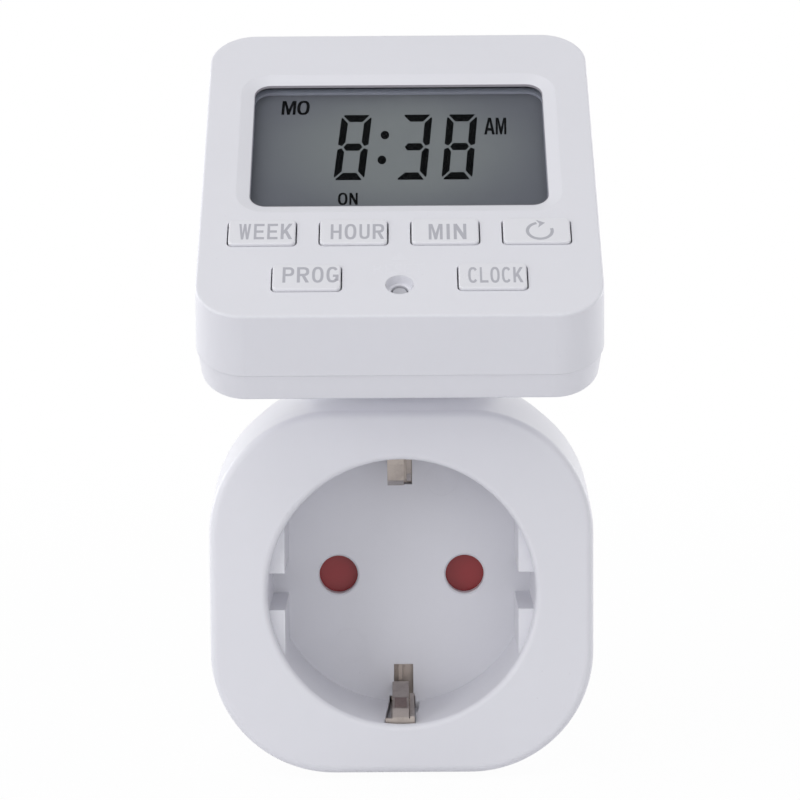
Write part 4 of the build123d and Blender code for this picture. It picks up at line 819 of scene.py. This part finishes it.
def figure(text, sizes):
    """Bmesh of one slanted seven-segment figure, with its foot's left corner at the origin."""
    shape = bmesh.new()
    outlines = segment_outlines()
    scale_x = sizes.digit_width / FIGURE_GRID[0]
    scale_y = sizes.digit_height / FIGURE_GRID[1]
    lean = sizes.digit_slant / FIGURE_GRID[1]
    for segment in FIGURES[text]:
        corners = [(x * scale_x + y * lean, y * scale_y, 0) for x, y in outlines[segment]]
        shape.faces.new([shape.verts.new(corner) for corner in corners])
    raise_faces(shape, list(shape.faces), sizes.ink_height)
    return shape


# ------------------------------------------------------------------------------------ operators
class TIMER_OT_camera(bpy.types.Operator):
    """Set up the camera"""

    bl_idname = "timer.camera"
    bl_label = "Camera"

    def execute(self, context):
        setting = context.scene.timer_camera
        data = bpy.data.cameras.new("camera")
        data.lens = setting.lens
        data.sensor_width = 36.0
        data.clip_start = 0.01
        camera = bpy.data.objects.new("camera", data)
        context.scene.collection.objects.link(camera)
        turn = Matrix.Rotation(setting.left, 4, "Z")
        turn = turn @ Matrix.Rotation(math.pi / 2 - setting.down, 4, "X")
        turn = turn @ Matrix.Rotation(setting.roll, 4, "Z")
        camera.matrix_world = Matrix.Translation(setting.place) @ turn
        context.scene.camera = camera
        context.scene.view_settings.view_transform = "Standard"
        return {"FINISHED"}


class TIMER_OT_stage(bpy.types.Operator):
    """Lay the floor and set the studio light"""

    bl_idname = "timer.stage"
    bl_label = "Floor and light"

    # Place and diameter of each lamp, and the place that they all face, in metres.
    LAMPS = (
        ("key", (-0.35, -0.55, 0.95), 0.9),
        ("fill", (0.35, -1.1, 0.3), 0.8),
        ("side", (-0.85, -0.75, 0.3), 0.6),
        ("left_rim", (-0.7, 0.35, 0.2), 0.5),
        ("right_rim", (0.7, 0.35, 0.2), 0.5),
    )
    TARGET = Vector((0, CAD_BOX[0][1] / 2, 0.02))
    # Half the floor's width, and the distances from the origin over which it fades.
    FLOOR_REACH = 6.0
    FADE = (0.07, 0.4)
    SKY = (0.98, 0.985, 1.0)

    def execute(self, context):
        setting = context.scene.timer_stage
        self.add_floor(context, setting)
        self.light_world(context, setting)
        for name, place, size in self.LAMPS:
            self.add_lamp(context, name, Vector(place), size, getattr(setting, name + "_power"))
        return {"FINISHED"}

    def seen(self, shader):
        """1 for the rays that show the backdrop itself, directly, in gloss or through glass."""
        rays = [
            shader.node("ShaderNodeLightPath", {}, {}, name)
            for name in ("Is Camera Ray", "Is Glossy Ray", "Is Transmission Ray")
        ]
        return shader.node(
            "ShaderNodeMath", {"operation": "ADD", "use_clamp": True}, {0: rays[0] + rays[1], 1: rays[2]}
        )

    def add_floor(self, context, setting):
        shape = bmesh.new()
        bmesh.ops.create_grid(shape, x_segments=1, y_segments=1, size=self.FLOOR_REACH)
        bmesh.ops.translate(shape, vec=(0, 0, CAD_BOX[0][2]), verts=shape.verts)
        mesh = bpy.data.meshes.new("floor")
        shape.to_mesh(mesh)
        shape.free()
        floor = bpy.data.objects.new("floor", mesh)
        context.scene.collection.objects.link(floor)
        material = bpy.data.materials.new("floor")
        shader = Shader(material)
        mottle = shader.noise(0.05, 3.0)
        shade = shader.mix(mottle, setting.floor, shaded(setting.floor, 0.97))
        values = {"Base Color": shade, "Roughness": 0.8 + mottle * 0.1, "Specular IOR Level": 0.1}
        paper = shader.surface(values)
        glow = shader.node("ShaderNodeEmission", {}, {"Color": tuple(setting.backdrop)})
        distance = shader.node("ShaderNodeVectorMath", {"operation": "LENGTH"}, {0: shader.place()}, "Value")
        faded = shader.band(distance, *self.FADE)
        factor = self.seen(shader) * (faded * (1 - setting.lift) + setting.lift)
        shader.finish(shader.node("ShaderNodeMixShader", {}, {0: factor, 1: paper, 2: glow}))
        mesh.materials.append(material)

    def light_world(self, context, setting):
        world = bpy.data.worlds.new("studio")
        context.scene.world = world
        shader = Shader(world)
        soft = {"Color": self.SKY, "Strength": setting.ambient}
        soft = shader.node("ShaderNodeBackground", {}, soft)
        plain = shader.node("ShaderNodeBackground", {}, {"Color": tuple(setting.backdrop)})
        mixed = shader.node("ShaderNodeMixShader", {}, {0: self.seen(shader), 1: soft, 2: plain})
        shader.finish(mixed, "ShaderNodeOutputWorld")

    def add_lamp(self, context, name, place, size, power):
        data = bpy.data.lights.new(name + "_light", "AREA")
        data.shape = "DISK"
        data.size = size
        data.energy = power
        lamp = bpy.data.objects.new(name + "_light", data)
        context.scene.collection.objects.link(lamp)
        lamp.location = place
        lamp.rotation_euler = (self.TARGET - place).to_track_quat("-Z", "Y").to_euler()


class TIMER_OT_finishes(bpy.types.Operator):
    """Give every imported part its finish"""

    bl_idname = "timer.finishes"
    bl_label = "Finishes"

    def execute(self, context):
        tints = context.scene.timer_colours
        display = context.scene.timer_display
        made = {
            name: new_material(name, getattr(tints, name), *finish)
            for name, finish in FINISHES.items()
        }
        made["lcd_glass"] = new_material("lcd_glass", display.bright, display_cell, list(display.dim))
        for row in frame["record"]["subparts"]:
            materials = NODES[row["node"]].data.materials
            materials.clear()
            materials.append(made[row["material_slot"]])
        return {"FINISHED"}


class TIMER_OT_digits(bpy.types.Operator):
    """Put the figures and the colon on the display cell"""

    bl_idname = "timer.digits"
    bl_label = "Figures"

    # Left end of each figure's foot, and the colon's dots, in millimetres from the face's centre.
    FEET = (("hour_figure", "8", -9.43), ("ten_figure", "3", -0.53), ("unit_figure", "8", 6.08))
    DOTS = ((-2.01, 10.69), (-2.46, 4.84))

    def execute(self, context):
        sizes = context.scene.timer_display
        ink = new_material("display_ink", sizes.segment, printed, shine=0.0)
        for name, text, foot in self.FEET:
            shape = figure(text, sizes)
            lay_on_face(shape, foot * MM, FACE_UP + sizes.digit_low, CELL_OUT)
            add_piece(name, shape, ink, "housing")
        shape = bmesh.new()
        for across, up in self.DOTS:
            made = bmesh.ops.create_circle(shape, cap_ends=True, segments=32, radius=0.5)
            size = (sizes.colon_width, sizes.colon_height, 1)
            bmesh.ops.scale(shape, vec=size, verts=made["verts"])
            bmesh.ops.translate(shape, vec=(across * MM, up * MM, 0), verts=made["verts"])
        raise_faces(shape, list(shape.faces), sizes.ink_height)
        lay_on_face(shape, 0, FACE_UP, CELL_OUT)
        add_piece("colon_dots", shape, ink, "housing")
        return {"FINISHED"}


class TIMER_OT_words(bpy.types.Operator):
    """Put the day, the half of the day and the state on the display cell"""

    bl_idname = "timer.words"
    bl_label = "Display words"

    # Left, right, low and high edge of each word, in millimetres from the face's centre.
    # Then the width of each letter as a share of its height, the gap and the slant, all before
    # the word is fitted to its edges.
    WORDS = (
        ("day_word", "MO", (-17.27, -13.12), (15.63, 19.05), (0.86, 0.76), 0.08, 0.05),
        ("half_word", "AM", (12.48, 15.81), (10.68, 14.63), (0.5, 0.5), 0.04, 0.03),
        ("state_word", "ON", (-8.71, -5.91), (-5.40, -2.63), (0.6, 0.52), 0.12, 0.0),
    )

    def execute(self, context):
        sizes = context.scene.timer_display
        ink = bpy.data.materials["display_ink"]
        for name, text, across, up, widths, gap, slant in self.WORDS:
            shape = capitals(text, widths, gap, slant)
            fit_to(shape, [value * MM for value in across], [value * MM for value in up])
            raise_faces(shape, list(shape.faces), sizes.ink_height)
            lay_on_face(shape, 0, FACE_UP, CELL_OUT)
            add_piece(name, shape, ink, "housing")
        return {"FINISHED"}


class TIMER_OT_legends(bpy.types.Operator):
    """Print the words on the keys"""

    bl_idname = "timer.legends"
    bl_label = "Key legends"

    # Left and right edge and middle height of each word, in millimetres from the face's centre.
    # Then the width of each letter and the gap between letters, as shares of their height before
    # the word is fitted to its edges.
    WORDS = (
        ("week", "WEEK", (-22.33, -14.88), -14.62, (0.74, 0.64, 0.64, 0.72), 0.19),
        ("hour", "HOUR", (-9.55, -2.11), -14.76, (0.68, 0.74, 0.64, 0.72), 0.19),
        ("minute", "MIN", (4.08, 9.32), -14.88, (0.86, 0.2, 0.78), 0.24),
        ("program", "PROG", (-16.02, -8.36), -23.94, (0.68, 0.72, 0.68, 0.72), 0.17),
        ("clock", "CLOCK", (9.38, 16.92), -24.2, (0.58, 0.5, 0.56, 0.56, 0.6), 0.13),
    )

    def execute(self, context):
        sizes = context.scene.timer_legends
        ink = new_material("legend_ink", sizes.ink, printed)
        half = sizes.cap_height / 2
        for key, text, across, up, widths, gap in self.WORDS:
            shape = capitals(text, widths, gap, 0.0)
            fit_to(shape, [value * MM for value in across], (up * MM - half, up * MM + half))
            raise_faces(shape, list(shape.faces), sizes.print_height)
            top = reach("key_" + key, OUT_OF_FACE)[1]
            lay_on_face(shape, 0, FACE_UP, top - sizes.print_height / 2)
            add_piece(key + "_legend", shape, ink, "key_" + key)
        return {"FINISHED"}


class TIMER_OT_round_arrow(bpy.types.Operator):
    """Print the round arrow on its key"""

    bl_idname = "timer.round_arrow"
    bl_label = "Round arrow"

    # Middle on the face, and the corners of the arrow's head from the top of its circle, in
    # millimetres.
    CENTRE = (19.55, -14.83)
    HEAD = ((-0.5, 0.66), (0.78, 0.03), (-0.2, -1.02), (-0.02, -0.14))
    START = math.radians(18)
    SWEEP = math.radians(274)
    STEPS = 48

    def execute(self, context):
        sizes = context.scene.timer_legends
        shape = bmesh.new()
        band = (sizes.arrow_radius, sizes.arrow_stroke, self.START, -self.SWEEP, self.STEPS)
        round_band(shape, (0, 0), *band)
        tip = [(x * MM, sizes.arrow_radius + y * MM, 0) for x, y in self.HEAD]
        shape.faces.new([shape.verts.new(corner) for corner in tip])
        raise_faces(shape, list(shape.faces), sizes.print_height)
        across, up = self.CENTRE
        top = reach("key_cycle", OUT_OF_FACE)[1]
        out = top - sizes.print_height / 2
        lay_on_face(shape, across * MM, FACE_UP + up * MM, out)
        add_piece("cycle_legend", shape, bpy.data.materials["legend_ink"], "key_cycle")
        return {"FINISHED"}


class TIMER_OT_reset_mark(bpy.types.Operator):
    """Raise the faint reset mark above the reset button, a little lighter than the housing as a painted
    highlight
    """

    bl_idname = "timer.reset_mark"
    bl_label = "Reset mark"

    # Middle, width and height of the word and corners of the arrow, in millimetres on the face.
    WORD = (-0.1, -22.3, 7.0, 2.1)
    ARROW = ((-1.3, -20.5), (1.3, -20.5), (0.0, -18.6))

    def execute(self, context):
        sizes = context.scene.timer_legends
        across, up, width, height = (value * MM for value in self.WORD)
        shape = lettering("RESET", width, height, sizes.relief_height)
        bmesh.ops.translate(shape, vec=(across, up, 0), verts=shape.verts)
        corners = [shape.verts.new((x * MM, y * MM, -sizes.relief_height / 2)) for x, y in self.ARROW]
        raise_faces(shape, [shape.faces.new(corners)], sizes.relief_height)
        lay_on_face(shape, 0, FACE_UP, FACE_OUT)
        # The relief colour is a painted highlight on the thin raised mark.
        pale = new_material("reset_relief", sizes.relief, printed, shine=0.3)
        add_piece("reset_mark", shape, pale, "housing")
        return {"FINISHED"}


class TIMER_OT_window_gasket(bpy.types.Operator):
    """Line the window's wall with a darker ring of painted shade and lay a gasket under its lens"""

    bl_idname = "timer.window_gasket"
    bl_label = "Window gasket"

    # How far the lens reaches past the opening, and the opening's corner radius, in millimetres.
    LENS_MARGIN = 1.3
    CORNER = 2.4
    CORNER_STEPS = 8
    # Inner inset and width of each ring, its low and high side above the cell, in millimetres, and its share
    # of the gasket's colour. The liner's share below 1 is painted shade: a darker copy of the rubber on the
    # window's wall, where shade falls.
    RINGS = (
        ("window_liner", 0.06, 0.05, 1.42, 1.82, 0.75),
        ("window_gasket", 0.05, 1.1, 0.03, 0.37, 1.0),
    )
    # Roughness, grain, its depth, edge, mottle and shine.
    RUBBER = (0.6, 0.2, 6.0, 0.05, 0.12, 0.3)

    def execute(self, context):
        tint = context.scene.timer_display.gasket
        for name, inset, width, low, high, shade in self.RINGS:
            # A share below 1 makes a darker copy of the rubber: painted shade on the window's wall.
            rubber = new_material(name, shaded(tint, shade), moulded, *self.RUBBER)
            shape = bmesh.new()
            loops = self.outline(shape, -inset * MM) + self.outline(shape, (width - inset) * MM)
            bmesh.ops.bridge_loops(shape, edges=loops)
            raise_faces(shape, list(shape.faces), (high - low) * MM)
            lay_on_face(shape, 0, 0, CELL_OUT + low * MM)
            add_piece(name, shape, rubber, "housing")
        return {"FINISHED"}

    def outline(self, shape, growth):
        """Closed loop of edges along the window's rounded outline, grown by a distance."""
        margin = self.LENS_MARGIN * MM - growth
        across = [end + sign * margin for end, sign in zip(reach("lcd_window", ACROSS), (1, -1))]
        up = [end + sign * margin for end, sign in zip(reach("lcd_window", UP_FACE), (1, -1))]
        radius = self.CORNER * MM + growth
        points = []
        for corner in range(4):
            x = across[1] - radius if corner in (0, 3) else across[0] + radius
            y = up[1] - radius if corner in (0, 1) else up[0] + radius
            for step in range(self.CORNER_STEPS + 1):
                angle = (corner + step / self.CORNER_STEPS) * math.pi / 2
                place = (x + radius * math.cos(angle), y + radius * math.sin(angle), 0)
                points.append(shape.verts.new(place))
        return [shape.edges.new((points[index - 1], points[index])) for index in range(len(points))]


class TIMER_OT_clip_painted_shade(bpy.types.Operator):
    """Lay a thin dark plate of painted shade on the lower clip's ramp"""

    bl_idname = "timer.clip_panel"
    bl_label = "Clip panel"

    # Middle of the ramp's face, and the panel's width, length and thickness, in millimetres.
    CENTRE = (-0.26, -59.29, -16.81)
    SIZE = (1.76, 2.1, 0.02)
    SLOPE = math.atan2(1.3, 2.0)

    def execute(self, context):
        shape = bmesh.new()
        bmesh.ops.create_cube(shape, size=1.0)
        bmesh.ops.scale(shape, vec=[value * MM for value in self.SIZE], verts=shape.verts)
        turn = Matrix.Translation([value * MM for value in self.CENTRE])
        turn = turn @ Matrix.Rotation(self.SLOPE, 4, "X")
        bmesh.ops.transform(shape, matrix=turn, verts=shape.verts)
        # The plate's dark colour is painted shade on the ramp.
        tint = context.scene.timer_colours.clip_panel
        metal = new_material("clip_panel", tint, strip_metal, roughness=0.45)
        add_piece("clip_panel", shape, metal, "housing")
        return {"FINISHED"}


class TIMER_OT_well_rings(bpy.types.Operator):
    """Raise the two plain rings on the well's floor"""

    bl_idname = "timer.well_rings"
    bl_label = "Well rings"

    # Across, up, radius and line width of each ring, in millimetres from the well's centre.
    RINGS = ((6.1, 14.2, 2.35, 0.24), (-7.9, -10.8, 2.5, 0.24))
    HEIGHT = 0.05
    STEPS = 64

    def execute(self, context):
        shape = bmesh.new()
        for across, up, radius, line in self.RINGS:
            centre = (across * MM, up * MM)
            round_band(shape, centre, radius * MM, line * MM, 0, 2 * math.pi, self.STEPS)
        raise_faces(shape, list(shape.faces), self.HEIGHT * MM)
        turn = Matrix.Translation((0, WELL_FLOOR_Y, 0)) @ Matrix.Rotation(math.pi / 2, 4, "X")
        bmesh.ops.transform(shape, matrix=turn, verts=shape.verts)
        tint = context.scene.timer_colours.white_plastic
        relief = new_material("well_relief", tint, moulded, edge=0.02)
        add_piece("well_rings", shape, relief, "housing")
        return {"FINISHED"}


STEPS = (
    TIMER_OT_camera,
    TIMER_OT_stage,
    TIMER_OT_finishes,
    TIMER_OT_digits,
    TIMER_OT_words,
    TIMER_OT_legends,
    TIMER_OT_round_arrow,
    TIMER_OT_reset_mark,
    TIMER_OT_window_gasket,
    TIMER_OT_clip_painted_shade,
    TIMER_OT_well_rings,
)
SETTINGS = {
    "timer_camera": TimerCamera,
    "timer_stage": TimerStage,
    "timer_display": TimerDisplay,
    "timer_legends": TimerLegends,
    "timer_colours": TimerColours,
}


class TIMER_PT_panel(bpy.types.Panel):
    """Lists the steps and the sizes and colours that they use"""

    bl_idname = "TIMER_PT_panel"
    bl_label = "Timer switch"
    bl_space_type = "VIEW_3D"
    bl_region_type = "UI"
    bl_category = "Timer"

    def draw(self, context):
        for step in STEPS:
            self.layout.operator(step.bl_idname)
        for name, group in SETTINGS.items():
            box = self.layout.box()
            for setting in group.__annotations__:
                box.prop(getattr(context.scene, name), setting)


def register():
    for group in (*SETTINGS.values(), *STEPS, TIMER_PT_panel):
        bpy.utils.register_class(group)
    for name, group in SETTINGS.items():
        setattr(bpy.types.Scene, name, bpy.props.PointerProperty(type=group))


def unregister():
    for name in SETTINGS:
        delattr(bpy.types.Scene, name)
    for group in reversed((*SETTINGS.values(), *STEPS, TIMER_PT_panel)):
        bpy.utils.unregister_class(group)


def main():
    register()
    for step in STEPS:
        area, name = step.bl_idname.split(".")
        getattr(getattr(bpy.ops, area), name)()


if __name__ == "__main__":
    main()
